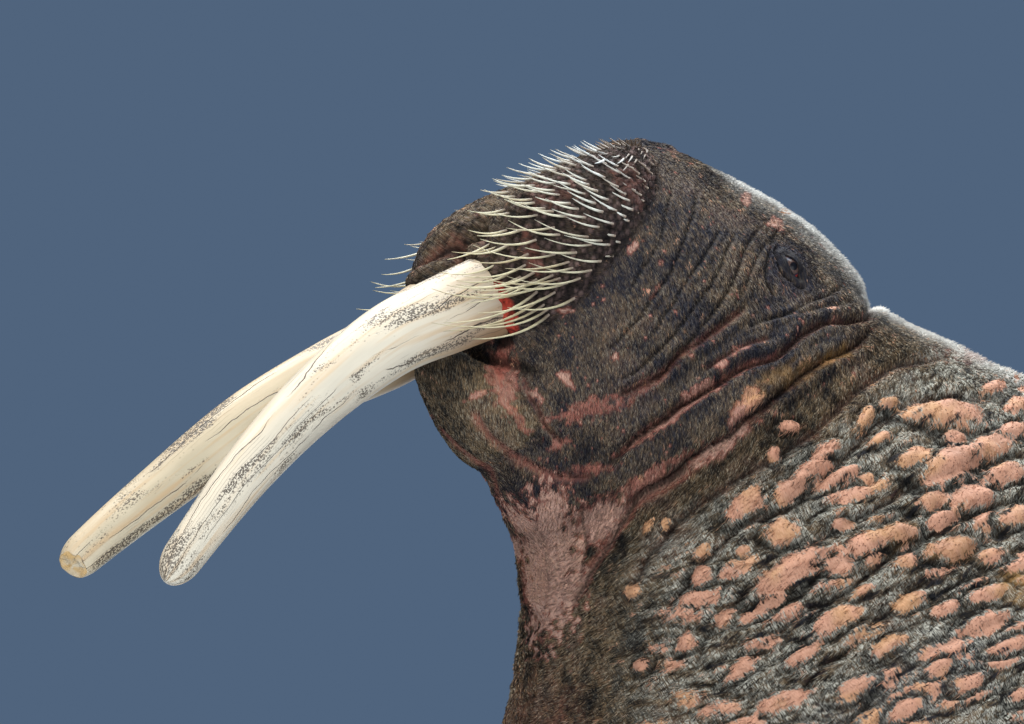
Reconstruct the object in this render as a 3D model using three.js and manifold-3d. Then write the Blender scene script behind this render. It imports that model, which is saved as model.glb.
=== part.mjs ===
// An adult male walrus at life size, chest raised on its fore flippers and head thrown up.
// Millimetres, +Z up. It faces -X, its left side is towards -Y, and it rests on the floor at Z = 0.
import * as THREE from "three";
import { mergeVertices } from "three/addons/utils/BufferGeometryUtils.js";
import Module from "manifold-3d";

const wasm = await Module();
wasm.setup();

// Clearance that neighbouring nodes keep, and half of it for two faces that share one plane.
const GAP = 0.3;
const HALF_GAP = GAP / 2;

// The head's own frame: forward along the snout, across to its right side, down to the chin.
// Its zero is midway between the two places where the tusks leave the gum.
const SNOUT_RISE = 45;
const HEAD_ROLL = 17;
const HEAD_PLACE = new THREE.Vector3(-82, -50, 1141);

// Tusks: the gum spacing from the midline, the section at the gum and at the tip, and the length inside.
const TUSK_FROM_MIDLINE = 65;
const TUSK_DEPTH = 46;
const TUSK_BREADTH = 31;
const TUSK_TIP_SHARE = 0.52;
const TUSK_ROOT = 34;

// Eyes: the ball, its place beside the head's midline, and the opening between the lids.
const EYE_RADIUS = 17;
const EYE_PLACE = { forward: -224, across: 121, down: -262 };
const LID_THICKNESS = 5;
const EYE_OPENING = { length: 30, height: 16 };

// Whiskers of one pad: rows from the crown down to the lip, how many stand in each row, how thick
// they are at the root, the shortest and the longest, and how deep they are rooted.
const WHISKERS = {
  rows: [7, 8, 8, 9, 9, 9, 8, 7],
  crown: 0.16,
  lip: 0.92,
  inner: -0.1,
  outer: 2.5,
  root: 1.7,
  shortest: 14,
  longest: 132,
  sunk: 7,
  seed: 41,
};

// Bosses: the lumps of bare hide on neck and chest, their half sizes, height and spacing.
const BOSSES = {
  long: [19, 46],
  short: [15, 28],
  height: [6, 12],
  sunk: 4,
  apart: 4,
  sides: 6,
  seed: 7,
};

// How far belly and flippers are pressed flat on the floor.
const BELLY_PRESS = 14;

// Segments round the body and round the head.
const BODY_SIDES = 32;
const HEAD_SIDES = 36;

const radians = THREE.MathUtils.degToRad;
const vec = (x, y, z) => new THREE.Vector3(x, y, z);

const SKIN = new THREE.MeshStandardMaterial({ color: 0x4a3f3a, roughness: 0.85 });
const PAD_SKIN = new THREE.MeshStandardMaterial({ color: 0x5a4a42, roughness: 0.8 });
const BOSS_SKIN = new THREE.MeshStandardMaterial({ color: 0x8d6656, roughness: 0.85 });
const IVORY = new THREE.MeshStandardMaterial({ color: 0xe6dcc4, roughness: 0.45 });
const EYE = new THREE.MeshStandardMaterial({ color: 0x1c1c22, roughness: 0.1 });

// Axes of the head's frame in the walrus's frame.
const riseAngle = radians(SNOUT_RISE);
const rollAngle = radians(HEAD_ROLL);
const headForward = vec(-Math.cos(riseAngle), 0, Math.sin(riseAngle));
const chinward = vec(-Math.sin(riseAngle), 0, -Math.cos(riseAngle));
const rightward = vec(0, 1, 0);
const headAcross = rightward.clone().multiplyScalar(Math.cos(rollAngle))
  .addScaledVector(chinward, Math.sin(rollAngle));
const headDown = chinward.clone().multiplyScalar(Math.cos(rollAngle))
  .addScaledVector(rightward, -Math.sin(rollAngle));

// A point given in the head's frame, in the walrus's frame.
function headPoint(forward, across, down) {
  return HEAD_PLACE.clone().addScaledVector(headForward, forward)
    .addScaledVector(headAcross, across).addScaledVector(headDown, down);
}

// A closed geometry as a solid, with its faces turned outward.
function solidOf(geometry) {
  const bare = geometry.clone();
  bare.deleteAttribute("normal");
  bare.deleteAttribute("uv");
  const merged = mergeVertices(bare, 1e-4);
  const triangles = new Uint32Array(merged.index.array);
  const make = () => new wasm.Manifold(new wasm.Mesh({
    numProp: 3,
    vertProperties: new Float32Array(merged.attributes.position.array),
    triVerts: triangles,
  }));
  const made = make();
  if (made.volume() > 0) return made;
  for (let i = 0; i < triangles.length; i += 3) {
    [triangles[i + 1], triangles[i + 2]] = [triangles[i + 2], triangles[i + 1]];
  }
  return make();
}

// A closed surface through rings of points, with a flat fan over each end.
function loft(rings) {
  const sides = rings[0].length;
  const points = rings.flat();
  const triangles = [];
  for (let i = 0; i + 1 < rings.length; i += 1) {
    for (let j = 0; j < sides; j += 1) {
      const next = (j + 1) % sides;
      const a = i * sides + j;
      const b = i * sides + next;
      triangles.push(a, b, b + sides, a, b + sides, a + sides);
    }
  }
  for (const first of [true, false]) {
    const ring = first ? rings[0] : rings[rings.length - 1];
    const start = first ? 0 : (rings.length - 1) * sides;
    const centre = ring.reduce((sum, p) => sum.add(p), vec(0, 0, 0)).divideScalar(sides);
    const hub = points.push(centre) - 1;
    for (let j = 0; j < sides; j += 1) {
      const next = (j + 1) % sides;
      if (first) triangles.push(start + next, start + j, hub);
      else triangles.push(start + j, start + next, hub);
    }
  }
  const geometry = new THREE.BufferGeometry().setFromPoints(points);
  geometry.setIndex(triangles);
  return solidOf(geometry);
}

// The largest closed surface of a solid.
function largest(solid) {
  return solid.decompose().reduce((best, part) => (part.volume() > best.volume() ? part : best));
}

// A box from its centre, its size along three axes, and those axes.
function boxSolid(centre, size, axes) {
  const geometry = new THREE.BoxGeometry(size[0], size[1], size[2]);
  const place = new THREE.Matrix4().makeBasis(axes[0], axes[1], axes[2]).setPosition(centre);
  return solidOf(geometry.applyMatrix4(place));
}

const worldAxes = [vec(1, 0, 0), vec(0, 1, 0), vec(0, 0, 1)];
const underFloor = boxSolid(vec(1000, 0, -500), [9000, 4000, 1000], worldAxes);

// A power of a cosine or sine that keeps its sign, so that a round section can be made squarer.
const signedPower = (value, power) => Math.sign(value) * Math.abs(value) ** power;

// The body's cross-sections, from the snout to the tail. A section lies between its point on the back
// and its point below; "wide" is half its breadth, "pear" makes it broader below, "square" fuller.
function headSection(back, below, wide, pear, square) {
  return {
    back: headPoint(back[0], 0, back[1]),
    below: headPoint(below[0], 0, below[1]),
    across: headAcross,
    form: vec(wide, pear, square),
  };
}

function bodySection(back, below, wide, roll, pear, square) {
  const fall = vec(below[0] - back[0], 0, below[1] - back[1]);
  const middle = vec((back[0] + below[0]) / 2, 0, (back[1] + below[1]) / 2);
  const turn = radians(roll);
  const half = fall.length() / 2;
  const down = fall.normalize();
  const rolledDown = down.clone().multiplyScalar(Math.cos(turn)).addScaledVector(rightward, -Math.sin(turn));
  return {
    back: middle.clone().addScaledVector(rolledDown, -half),
    below: middle.clone().addScaledVector(rolledDown, half),
    across: rightward.clone().multiplyScalar(Math.cos(turn)).addScaledVector(down, Math.sin(turn)),
    form: vec(wide, pear, square),
  };
}

const SECTIONS = [
  headSection([2, -262], [2, -18], 40, 0, 1),
  headSection([-20, -296], [-14, 10], 90, 0.04, 0.95),
  headSection([-55, -321], [-44, 28], 118, 0.08, 0.92),
  headSection([-100, -338], [-84, 66], 140, 0.1, 0.92),
  headSection([-150, -355], [-122, 86], 150, 0.12, 0.92),
  headSection([-200, -369], [-150, 96], 157, 0.12, 0.93),
  headSection([-250, -378], [-176, 104], 166, 0.12, 0.94),
  headSection([-300, -376], [-198, 110], 180, 0.1, 0.95),
  headSection([-338, -364], [-216, 116], 196, 0.08, 0.96),
  bodySection([434, 1136], [6, 884], 214, 13, 0.06, 0.97),
  bodySection([490, 1110], [16, 828], 240, 8, 0.06, 0.97),
  bodySection([570, 1072], [14, 745], 285, 4, 0.08, 0.97),
  bodySection([680, 1025], [-4, 636], 338, 1, 0.1, 0.97),
  bodySection([820, 972], [-24, 508], 392, 0, 0.1, 0.96),
  bodySection([980, 918], [-14, 365], 438, 0, 0.08, 0.95),
  bodySection([1150, 866], [56, 222], 474, 0, 0.06, 0.93),
  bodySection([1330, 812], [224, 96], 500, 0, 0.05, 0.9),
  bodySection([1510, 758], [480, 12], 510, 0, 0.05, 0.87),
  bodySection([1690, 700], [840, -BELLY_PRESS], 506, 0, 0.06, 0.86),
  bodySection([1880, 630], [1250, -BELLY_PRESS], 480, 0, 0.06, 0.86),
  bodySection([2080, 542], [1680, -BELLY_PRESS], 430, 0, 0.06, 0.88),
  bodySection([2270, 436], [2050, -BELLY_PRESS], 352, 0, 0.06, 0.92),
  bodySection([2420, 330], [2320, -10], 258, 0, 0.06, 0.96),
  bodySection([2530, 238], [2480, 6], 168, 0, 0, 1),
  bodySection([2612, 166], [2590, 30], 92, 0, 0, 1),
  bodySection([2676, 116], [2672, 52], 40, 0, 0, 1),
];

// Where one node of the trunk ends and the next begins, counted in cross-sections from the snout.
const CUTS = { snout: 0, nape: 8, shoulder: 12, waist: 16, hips: 20, tail: 23, tip: SECTIONS.length - 1 };

const along = (pick) => new THREE.CatmullRomCurve3(SECTIONS.map(pick), false, "centripetal");
const backLine = along((section) => section.back);
const belowLine = along((section) => section.below);
const acrossLine = along((section) => section.across);
const formLine = along((section) => section.form);

// A point of the trunk's surface: "place" counts cross-sections, "turn" goes round from the back
// (0) over the left side to the belly (pi).
function trunkPoint(place, turn, grow = 0) {
  const share = place / (SECTIONS.length - 1);
  const back = backLine.getPoint(share);
  const below = belowLine.getPoint(share);
  const across = acrossLine.getPoint(share).normalize();
  const form = formLine.getPoint(share);
  const fall = below.clone().sub(back);
  const half = fall.length() / 2 + grow;
  const level = signedPower(-Math.cos(turn), form.z);
  const side = -signedPower(Math.sin(turn), form.z) * (form.x + grow) * (1 + form.y * level);
  return back.add(below).multiplyScalar(0.5).addScaledVector(fall.normalize(), half * level)
    .addScaledVector(across, side);
}

function trunkRing(place, sides, shift = 0) {
  const ring = [];
  for (let j = 0; j < sides; j += 1) ring.push(trunkPoint(place, (2 * Math.PI * j) / sides));
  if (shift === 0) return ring;
  const normal = ring[Math.floor(sides / 4)].clone().sub(ring[0])
    .cross(ring[Math.floor(sides / 2)].clone().sub(ring[0])).normalize();
  const onward = trunkPoint(place + 0.01, 0).sub(trunkPoint(place, 0));
  if (normal.dot(onward) < 0) normal.negate();
  return ring.map((point) => point.addScaledVector(normal, shift));
}

// One node of the trunk, between two cuts, short of each cut by half the clearance.
function trunkPiece(from, to, sides, steps) {
  const rings = [];
  for (let i = 0; i <= steps; i += 1) {
    const place = from + ((to - from) * i) / steps;
    const shift = i === 0 ? HALF_GAP : i === steps ? -HALF_GAP : 0;
    rings.push(trunkRing(place, sides, shift));
  }
  return loft(rings);
}

// A pad of the upper lip: sections across the snout, from the crown of the pad to its lip.
// Columns: down, front, rear, inner edge and outer edge beside the midline.
const PAD_SECTIONS = [
  [-272, -24, -46, 26, 66],
  [-262, -12, -56, 17, 88],
  [-240, 2, -66, 10, 110],
  [-205, 21, -76, 6, 129],
  [-165, 40, -82, 5, 142],
  [-125, 54, -86, 5, 148],
  [-90, 58, -86, 5, 149],
  [-55, 48, -83, 6, 145],
  [-25, 30, -76, 10, 134],
  [-6, 10, -64, 18, 119],
  [2, -6, -50, 30, 102],
];
const PAD_SQUARE = 0.86;
const PAD_SIDES = 18;

const padLine = (first, second) => new THREE.CatmullRomCurve3(
  PAD_SECTIONS.map((row) => vec(row[0], row[first], row[second])), false, "centripetal",
);
const padDepthLine = padLine(1, 2);
const padBreadthLine = padLine(3, 4);

// A point of a pad in the head's frame: "share" runs from crown to lip, "turn" from the front
// (0) over the outer side to the rear (pi). "side" is -1 for the left pad and 1 for the right.
function padLocal(side, share, turn, grow = 0) {
  const depth = padDepthLine.getPoint(share);
  const breadth = padBreadthLine.getPoint(share);
  const halfDepth = (depth.y - depth.z) / 2 + grow;
  const halfBreadth = (breadth.z - breadth.y) / 2 + grow;
  const forward = (depth.y + depth.z) / 2 + halfDepth * signedPower(Math.cos(turn), PAD_SQUARE);
  const across = (breadth.y + breadth.z) / 2 + halfBreadth * signedPower(Math.sin(turn), PAD_SQUARE);
  const stretch = grow * (2 * share - 1);
  return { forward, across: side * across, down: depth.x + stretch };
}

function padPoint(side, share, turn, grow = 0) {
  const local = padLocal(side, share, turn, grow);
  return headPoint(local.forward, local.across, local.down);
}

function padBlob(side, grow, rows) {
  const rings = [];
  for (let i = 0; i <= rows; i += 1) {
    const ring = [];
    for (let j = 0; j < PAD_SIDES; j += 1) {
      ring.push(padPoint(side, i / rows, (2 * Math.PI * j) / PAD_SIDES, grow));
    }
    rings.push(ring);
  }
  return loft(rings);
}

// A sweep along points of the head's frame with an oval section. "deep" is half the section
// in the plane of the curve and "broad" is half of it across.
function headSweep(spine, steps, sides, deep, broad, grow = 0) {
  const curve = new THREE.CatmullRomCurve3(spine.map((p) => headPoint(p[0], p[1], p[2])));
  const rings = [];
  for (let i = 0; i <= steps; i += 1) {
    const share = 1 - (1 - i / steps) ** TUSK_CROWDING;
    const centre = curve.getPointAt(share);
    const onward = curve.getTangentAt(share);
    const wide = headAcross.clone().addScaledVector(onward, -headAcross.dot(onward)).normalize();
    const thick = onward.clone().cross(wide);
    if (i === 0) centre.addScaledVector(onward, -grow);
    if (i === steps) centre.addScaledVector(onward, grow);
    const ring = [];
    for (let j = 0; j < sides; j += 1) {
      const turn = (2 * Math.PI * j) / sides;
      ring.push(centre.clone()
        .addScaledVector(thick, (deep(share) + grow) * Math.cos(turn))
        .addScaledVector(wide, (broad(share) + grow) * Math.sin(turn)));
    }
    rings.push(ring);
  }
  return loft(rings);
}

// The two tusks bend alike but not quite the same: points of each spine beyond the gum.
const TUSK_SPINES = {
  left: [[24, -67, 50], [59, -72, 124], [87, -80, 246], [95, -89, 379], [92, -95, 500], [89, -96, 550]],
  right: [[12, 67, 50], [44, 74, 132], [79, 86, 240], [104, 98, 372], [120, 108, 478], [123, 110, 512]],
};
const TUSK_STEPS = 15;
const TUSK_SIDES = 12;
// Sections crowd together towards the tip, so that it closes round.
const TUSK_CROWDING = 1.5;

// The tusk keeps its thickness for most of its length and closes over the last tenth.
function tuskTaper(share) {
  const shaft = 1 - (1 - TUSK_TIP_SHARE) * share ** 1.7;
  const end = share > 0.94 ? Math.sqrt(Math.max(0.12, 1 - ((share - 0.94) / 0.064) ** 2)) : 1;
  return shaft * end;
}

function tusk(side, grow = 0) {
  const sign = side === "left" ? -1 : 1;
  const spine = [
    [-0.42 * TUSK_ROOT, sign * (TUSK_FROM_MIDLINE - 1), -0.9 * TUSK_ROOT],
    [0, sign * TUSK_FROM_MIDLINE, 0],
    ...TUSK_SPINES[side],
  ];
  return headSweep(
    spine, TUSK_STEPS, TUSK_SIDES,
    (share) => TUSK_DEPTH * tuskTaper(share),
    (share) => TUSK_BREADTH * tuskTaper(share),
    grow,
  );
}

// The lower jaw: sections from the chin back into the throat.
// Columns: forward, top edge, bottom edge, half breadth.
const JAW_SECTIONS = [
  [2, 52, 76, 14],
  [-4, 44, 86, 27],
  [-20, 39, 92, 38],
  [-44, 37, 97, 52],
  [-78, 37, 101, 68],
  [-112, 40, 102, 80],
  [-142, 48, 96, 84],
];
const JAW_SIDES = 16;
const JAW_STEPS = 10;

function jaw(grow = 0) {
  const edges = new THREE.CatmullRomCurve3(JAW_SECTIONS.map((row) => vec(row[0], row[1], row[2])));
  const breadths = new THREE.CatmullRomCurve3(JAW_SECTIONS.map((row) => vec(row[3], 0, 0)));
  const rings = [];
  for (let i = 0; i <= JAW_STEPS; i += 1) {
    const edge = edges.getPoint(i / JAW_STEPS);
    const broad = breadths.getPoint(i / JAW_STEPS).x + grow;
    const high = (edge.z - edge.y) / 2 + grow;
    const stretch = grow * (1 - (2 * i) / JAW_STEPS);
    const ring = [];
    for (let j = 0; j < JAW_SIDES; j += 1) {
      const turn = (2 * Math.PI * j) / JAW_SIDES;
      ring.push(headPoint(
        edge.x + stretch,
        broad * signedPower(Math.sin(turn), 0.85),
        (edge.y + edge.z) / 2 - high * signedPower(Math.cos(turn), 0.85),
      ));
    }
    rings.push(ring);
  }
  return loft(rings);
}

function ball(centre, radii, axes, columns, rows) {
  const geometry = new THREE.SphereGeometry(1, columns, rows);
  const stretch = new THREE.Matrix4().makeScale(radii[0], radii[1], radii[2]);
  const place = new THREE.Matrix4().makeBasis(axes[0], axes[1], axes[2]).setPosition(centre);
  return solidOf(geometry.applyMatrix4(stretch).applyMatrix4(place));
}

const headAxes = [headForward, headAcross, headDown];

function eyeCentre(sign) {
  return headPoint(EYE_PLACE.forward, sign * EYE_PLACE.across, EYE_PLACE.down);
}

// A lens-shaped prism: two arcs that meet in points, pushed through a surface.
function lens(centre, length, height, depth, axes) {
  const shape = new THREE.Shape();
  shape.moveTo(-length / 2, 0);
  shape.quadraticCurveTo(0, height, length / 2, 0);
  shape.quadraticCurveTo(0, -height, -length / 2, 0);
  const geometry = new THREE.ExtrudeGeometry(shape, { depth, bevelEnabled: false, curveSegments: 5 });
  geometry.translate(0, 0, -depth / 2);
  const place = new THREE.Matrix4().makeBasis(axes[0], axes[1], axes[2]).setPosition(centre);
  return solidOf(geometry.applyMatrix4(place));
}

// The opening between the lids slants up towards its front corner.
const LID_SLANT = -8;

function lids(sign) {
  const outward = headAcross.clone().multiplyScalar(sign);
  const slant = radians(LID_SLANT);
  const lengthwise = headForward.clone().multiplyScalar(Math.cos(slant))
    .addScaledVector(headDown, Math.sin(slant));
  const upright = outward.clone().cross(lengthwise).normalize();
  const axes = [lengthwise, upright, outward];
  const mound = EYE_RADIUS + LID_THICKNESS;
  const bulge = ball(eyeCentre(sign), [mound * 1.25, mound * 1.1, mound], axes, 14, 10);
  const front = eyeCentre(sign).addScaledVector(outward, EYE_RADIUS + LID_THICKNESS);
  const opening = lens(front, EYE_OPENING.length, EYE_OPENING.height, 2 * EYE_RADIUS, axes);
  return { bulge, opening };
}

// Nostrils: two crescents on the top of the snout that lean apart towards the front.
const NOSTRIL = { forward: -46, across: 28, down: -318, length: 46, height: 15, depth: 30, splay: 28 };

function nostril(sign) {
  const splay = radians(NOSTRIL.splay) * sign;
  const lengthwise = headForward.clone().multiplyScalar(Math.cos(splay))
    .addScaledVector(headAcross, Math.sin(splay));
  const upward = headDown.clone().negate();
  const sideways = upward.clone().cross(lengthwise).normalize();
  const centre = headPoint(NOSTRIL.forward, sign * NOSTRIL.across, NOSTRIL.down);
  return lens(centre, NOSTRIL.length, NOSTRIL.height, NOSTRIL.depth, [lengthwise, sideways, upward]);
}

// Ears: a slit without a flap, behind and below the eye.
const EAR = { place: 8.5, turn: 1.22, length: 26, height: 9, depth: 26 };

function earSlit(sign) {
  const turn = sign < 0 ? EAR.turn : 2 * Math.PI - EAR.turn;
  const centre = trunkPoint(EAR.place, turn);
  const onward = trunkPoint(EAR.place + 0.1, turn).sub(trunkPoint(EAR.place - 0.1, turn)).normalize();
  const round = trunkPoint(EAR.place, turn + 0.05).sub(trunkPoint(EAR.place, turn - 0.05)).normalize();
  const outward = onward.clone().cross(round).normalize();
  const sideways = outward.clone().cross(onward).normalize();
  return lens(centre, EAR.length, EAR.height, EAR.depth, [onward, sideways, outward]);
}

// The line of the mouth: a thin wedge between the upper lip and the lower jaw.
const MOUTH = { rear: -76, front: 40, down: 33, reach: 150, height: 9 };

function mouthLine() {
  const middle = headPoint((MOUTH.rear + MOUTH.front) / 2, 0, MOUTH.down);
  const axes = [headForward, headAcross, headDown];
  return boxSolid(middle, [MOUTH.front - MOUTH.rear, 2 * MOUTH.reach, MOUTH.height], axes);
}

// Numbers from 0 to 1 that come out the same each time for one seed.
function dice(seed) {
  let state = seed;
  return () => {
    state = (state + 0x6d2b79f5) | 0;
    let mixed = Math.imul(state ^ (state >>> 15), 1 | state);
    mixed = (mixed + Math.imul(mixed ^ (mixed >>> 7), 61 | mixed)) ^ mixed;
    return ((mixed ^ (mixed >>> 14)) >>> 0) / 4294967296;
  };
}

// A pointed spine of three sides: it leaves its root along "heading" and bends towards "bend".
function spine(root, heading, bend, length, radius) {
  const stations = [[0, 1], [0.35, 0.85], [0.7, 0.55], [1, 0]];
  const tilt = heading.clone().cross(bend).normalize();
  const lift = tilt.clone().cross(heading).normalize();
  const rings = stations.map(([share, thick]) => {
    const centre = root.clone().addScaledVector(heading, length * share)
      .addScaledVector(bend, length * 0.4 * share ** 2);
    return [0, 1, 2].map((corner) => {
      const turn = (2 * Math.PI * corner) / 3;
      return centre.clone().addScaledVector(tilt, radius * thick * Math.cos(turn))
        .addScaledVector(lift, radius * thick * Math.sin(turn));
    });
  });
  const tip = rings.pop()[0];
  const points = [...rings.flat(), tip];
  const triangles = [2, 1, 0];
  for (let i = 0; i < rings.length; i += 1) {
    for (let j = 0; j < 3; j += 1) {
      const a = 3 * i + j;
      const b = 3 * i + ((j + 1) % 3);
      if (i + 1 < rings.length) triangles.push(a, b, b + 3, a, b + 3, a + 3);
      else triangles.push(a, b, points.length - 1);
    }
  }
  const geometry = new THREE.BufferGeometry().setFromPoints(points);
  geometry.setIndex(triangles);
  return solidOf(geometry);
}

// The whiskers of one pad. They grow longer from crown to lip, lean down the snout over the
// tusk, and bend forward towards their tips.
function whiskers(side, sign) {
  const random = dice(WHISKERS.seed);
  const shaft = new THREE.CatmullRomCurve3(
    [[0, sign * TUSK_FROM_MIDLINE, 0], ...TUSK_SPINES[side]].map((p) => headPoint(p[0], p[1], p[2])),
  ).getPoints(24);
  const outward = headAcross.clone().multiplyScalar(sign);
  const grown = [];
  WHISKERS.rows.forEach((count, row) => {
    const down = (row + 0.5) / WHISKERS.rows.length;
    for (let i = 0; i < count; i += 1) {
      const share = THREE.MathUtils.lerp(WHISKERS.crown, WHISKERS.lip, down + 0.06 * (random() - 0.5));
      const round = (i + 0.5 + 0.4 * (random() - 0.5)) / count;
      const turn = THREE.MathUtils.lerp(WHISKERS.inner, WHISKERS.outer, round);
      const skin = padPoint(sign, share, turn);
      const out = skin.clone().sub(padPoint(sign, share, turn, -10)).normalize();
      const flank = THREE.MathUtils.smoothstep(turn, 0.6, 1.7);
      const growth = THREE.MathUtils.smoothstep(share, 0.05, 0.75) * (0.22 + 0.78 * flank);
      const length = THREE.MathUtils.lerp(WHISKERS.shortest, WHISKERS.longest, growth) * (0.85 + 0.3 * random());
      const clear = Math.min(...shaft.map((point) => point.distanceTo(skin)));
      if (clear < TUSK_DEPTH + 4) continue;
      const heading = out.clone().multiplyScalar(0.6 - 0.2 * flank)
        .addScaledVector(headDown, 0.4 + 0.5 * flank)
        .addScaledVector(headForward, 0.34 + 0.16 * flank)
        .addScaledVector(outward, 0.06)
        .normalize();
      const bend = headForward.clone().addScaledVector(outward, 0.06).normalize();
      const root = skin.addScaledVector(out, -WHISKERS.sunk);
      grown.push(spine(root, heading, bend, length + WHISKERS.sunk, WHISKERS.root));
    }
  });
  return grown;
}

// A low lump of hide with its rim sunk under the surface that it swells from.
function boss(centre, out, lengthwise, half, height) {
  const sideways = out.clone().cross(lengthwise).normalize();
  const spot = (turn, spread, lift) => centre.clone()
    .addScaledVector(lengthwise, half[0] * spread * Math.cos(turn))
    .addScaledVector(sideways, half[1] * spread * Math.sin(turn))
    .addScaledVector(out, lift);
  const points = [];
  const triangles = [];
  const sides = BOSSES.sides;
  for (const [spread, lift] of [[1, -BOSSES.sunk], [0.66, 0.74 * height]]) {
    for (let j = 0; j < sides; j += 1) points.push(spot((2 * Math.PI * j) / sides, spread, lift));
  }
  points.push(spot(0, 0, height));
  for (let j = 0; j < sides; j += 1) {
    const next = (j + 1) % sides;
    triangles.push(j, next, sides + next, j, sides + next, sides + j);
    triangles.push(sides + j, sides + next, 2 * sides);
    if (j > 0 && j + 1 < sides) triangles.push(0, j + 1, j);
  }
  const geometry = new THREE.BufferGeometry().setFromPoints(points);
  geometry.setIndex(triangles);
  return solidOf(geometry);
}

// Bosses strewn over both flanks between two places of the trunk, none touching another.
// "band" gives how far round from the back they start and end.
function bosses(from, to, band, wanted, seed) {
  const random = dice(seed);
  const pick = ([low, high]) => THREE.MathUtils.lerp(low, high, random() ** 1.6);
  const placed = [];
  const grown = [];
  for (let tries = 0; tries < 4000 && grown.length < wanted; tries += 1) {
    const place = THREE.MathUtils.lerp(from, to, random());
    const round = THREE.MathUtils.lerp(band[0], band[1], random());
    const turn = random() < 0.5 ? round : 2 * Math.PI - round;
    const half = [pick(BOSSES.long), pick(BOSSES.short)];
    const centre = trunkPoint(place, turn);
    if (placed.some((other) => other.centre.distanceTo(centre) < other.reach + half[0] + BOSSES.apart)) continue;
    const onward = trunkPoint(place + 0.1, turn).sub(trunkPoint(place - 0.1, turn)).normalize();
    const around = trunkPoint(place, turn + 0.04).sub(trunkPoint(place, turn - 0.04)).normalize();
    const out = onward.clone().cross(around).normalize();
    if (out.dot(centre.clone().sub(trunkPoint(place, turn, -20))) < 0) out.negate();
    const lengthwise = around.clone().addScaledVector(onward, 0.5 * (random() - 0.5)).normalize();
    placed.push({ centre, reach: (half[0] + half[1]) / 2 });
    grown.push(boss(centre, out, lengthwise, half, pick(BOSSES.height)));
  }
  return grown;
}

// A flipper: the limb comes out of the body and ends in a paddle that lies on the floor.
// "reach" points from wrist to tips and "spread" to the leading edge, both along the floor.
const FORE = {
  limb: [[440, 290, 330], [345, 385, 235], [280, 470, 130], [250, 560, 44]],
  limbDeep: [150, 124, 100, 76],
  limbThick: [86, 72, 56, 34],
  wrist: [262, 500],
  heading: 112,
  length: 420,
  breadth: [78, 112, 142, 134],
  digits: [1, 0.97, 0.9, 0.8, 0.68],
  thickness: [78, 44, 24, 13],
};
const HIND = {
  limb: [[2310, 110, 130], [2290, 200, 104], [2262, 280, 74], [2235, 350, 42]],
  limbDeep: [126, 108, 88, 72],
  limbThick: [90, 72, 52, 34],
  wrist: [2245, 300],
  heading: 76,
  length: 440,
  breadth: [66, 104, 160, 200],
  digits: [1, 0.9, 0.84, 0.9, 1],
  thickness: [64, 34, 19, 11],
};
const PADDLE_ROWS = 6;
const DIGIT_COLUMNS = 3;
const WEB_NOTCH = 0.1;
const RIDGE = 0.42;

const table = (values, share) => {
  const place = share * (values.length - 1);
  const index = Math.min(values.length - 2, Math.floor(place));
  return THREE.MathUtils.lerp(values[index], values[index + 1], place - index);
};

// A paddle: five digits in a web, domed above and flat below.
function paddle(flipper, sign) {
  const heading = radians(flipper.heading);
  const reach = vec(-Math.cos(heading), sign * Math.sin(heading), 0);
  const spread = vec(-Math.sin(heading), -sign * Math.cos(heading), 0);
  const wrist = vec(flipper.wrist[0], sign * flipper.wrist[1], 0);
  const columns = flipper.digits.length * DIGIT_COLUMNS;
  const rings = [];
  for (let i = 0; i <= PADDLE_ROWS; i += 1) {
    const share = i / PADDLE_ROWS;
    const half = table(flipper.breadth, share);
    const thick = table(flipper.thickness, share);
    const top = [];
    const bottom = [];
    for (let j = 0; j <= columns; j += 1) {
      const across = 1 - (2 * j) / columns;
      const phase = (j % DIGIT_COLUMNS) / DIGIT_COLUMNS;
      const onDigit = 0.5 - 0.5 * Math.cos(2 * Math.PI * phase);
      const notch = 1 - WEB_NOTCH * share * (1 - onDigit);
      const edge = Math.sqrt(Math.max(0, 1 - across ** 2));
      const long = flipper.length * share * notch * table(flipper.digits, j / columns);
      const fill = (1 - RIDGE * share * (1 - onDigit)) * (0.28 + 0.72 * edge);
      const spot = wrist.clone().addScaledVector(reach, long).addScaledVector(spread, half * across);
      top.push(spot.clone().setZ(Math.max(5, thick * fill)));
      bottom.push(spot.clone().setZ(0));
    }
    rings.push(top.concat(bottom.reverse()));
  }
  return loft(rings);
}

function limb(flipper, sign, grow = 0) {
  const curve = new THREE.CatmullRomCurve3(flipper.limb.map((p) => vec(p[0], sign * p[1], p[2])));
  const rings = [];
  const steps = 6;
  const sides = 12;
  for (let i = 0; i <= steps; i += 1) {
    const share = i / steps;
    const centre = curve.getPoint(share);
    const onward = curve.getTangent(share);
    const deep = vec(1, 0, 0).addScaledVector(onward, -onward.x).normalize();
    const thin = onward.clone().cross(deep);
    if (i === 0) centre.addScaledVector(onward, -grow);
    const ring = [];
    for (let j = 0; j < sides; j += 1) {
      const turn = (2 * Math.PI * j) / sides;
      ring.push(centre.clone()
        .addScaledVector(deep, (table(flipper.limbDeep, share) + grow) * Math.cos(turn))
        .addScaledVector(thin, (table(flipper.limbThick, share) + grow) * Math.sin(turn)));
    }
    rings.push(ring);
  }
  return loft(rings);
}

// A nail lies on each digit, a little short of the web's edge.
const NAIL = { back: 0.82, long: 17, broad: 8, high: 7 };

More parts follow.
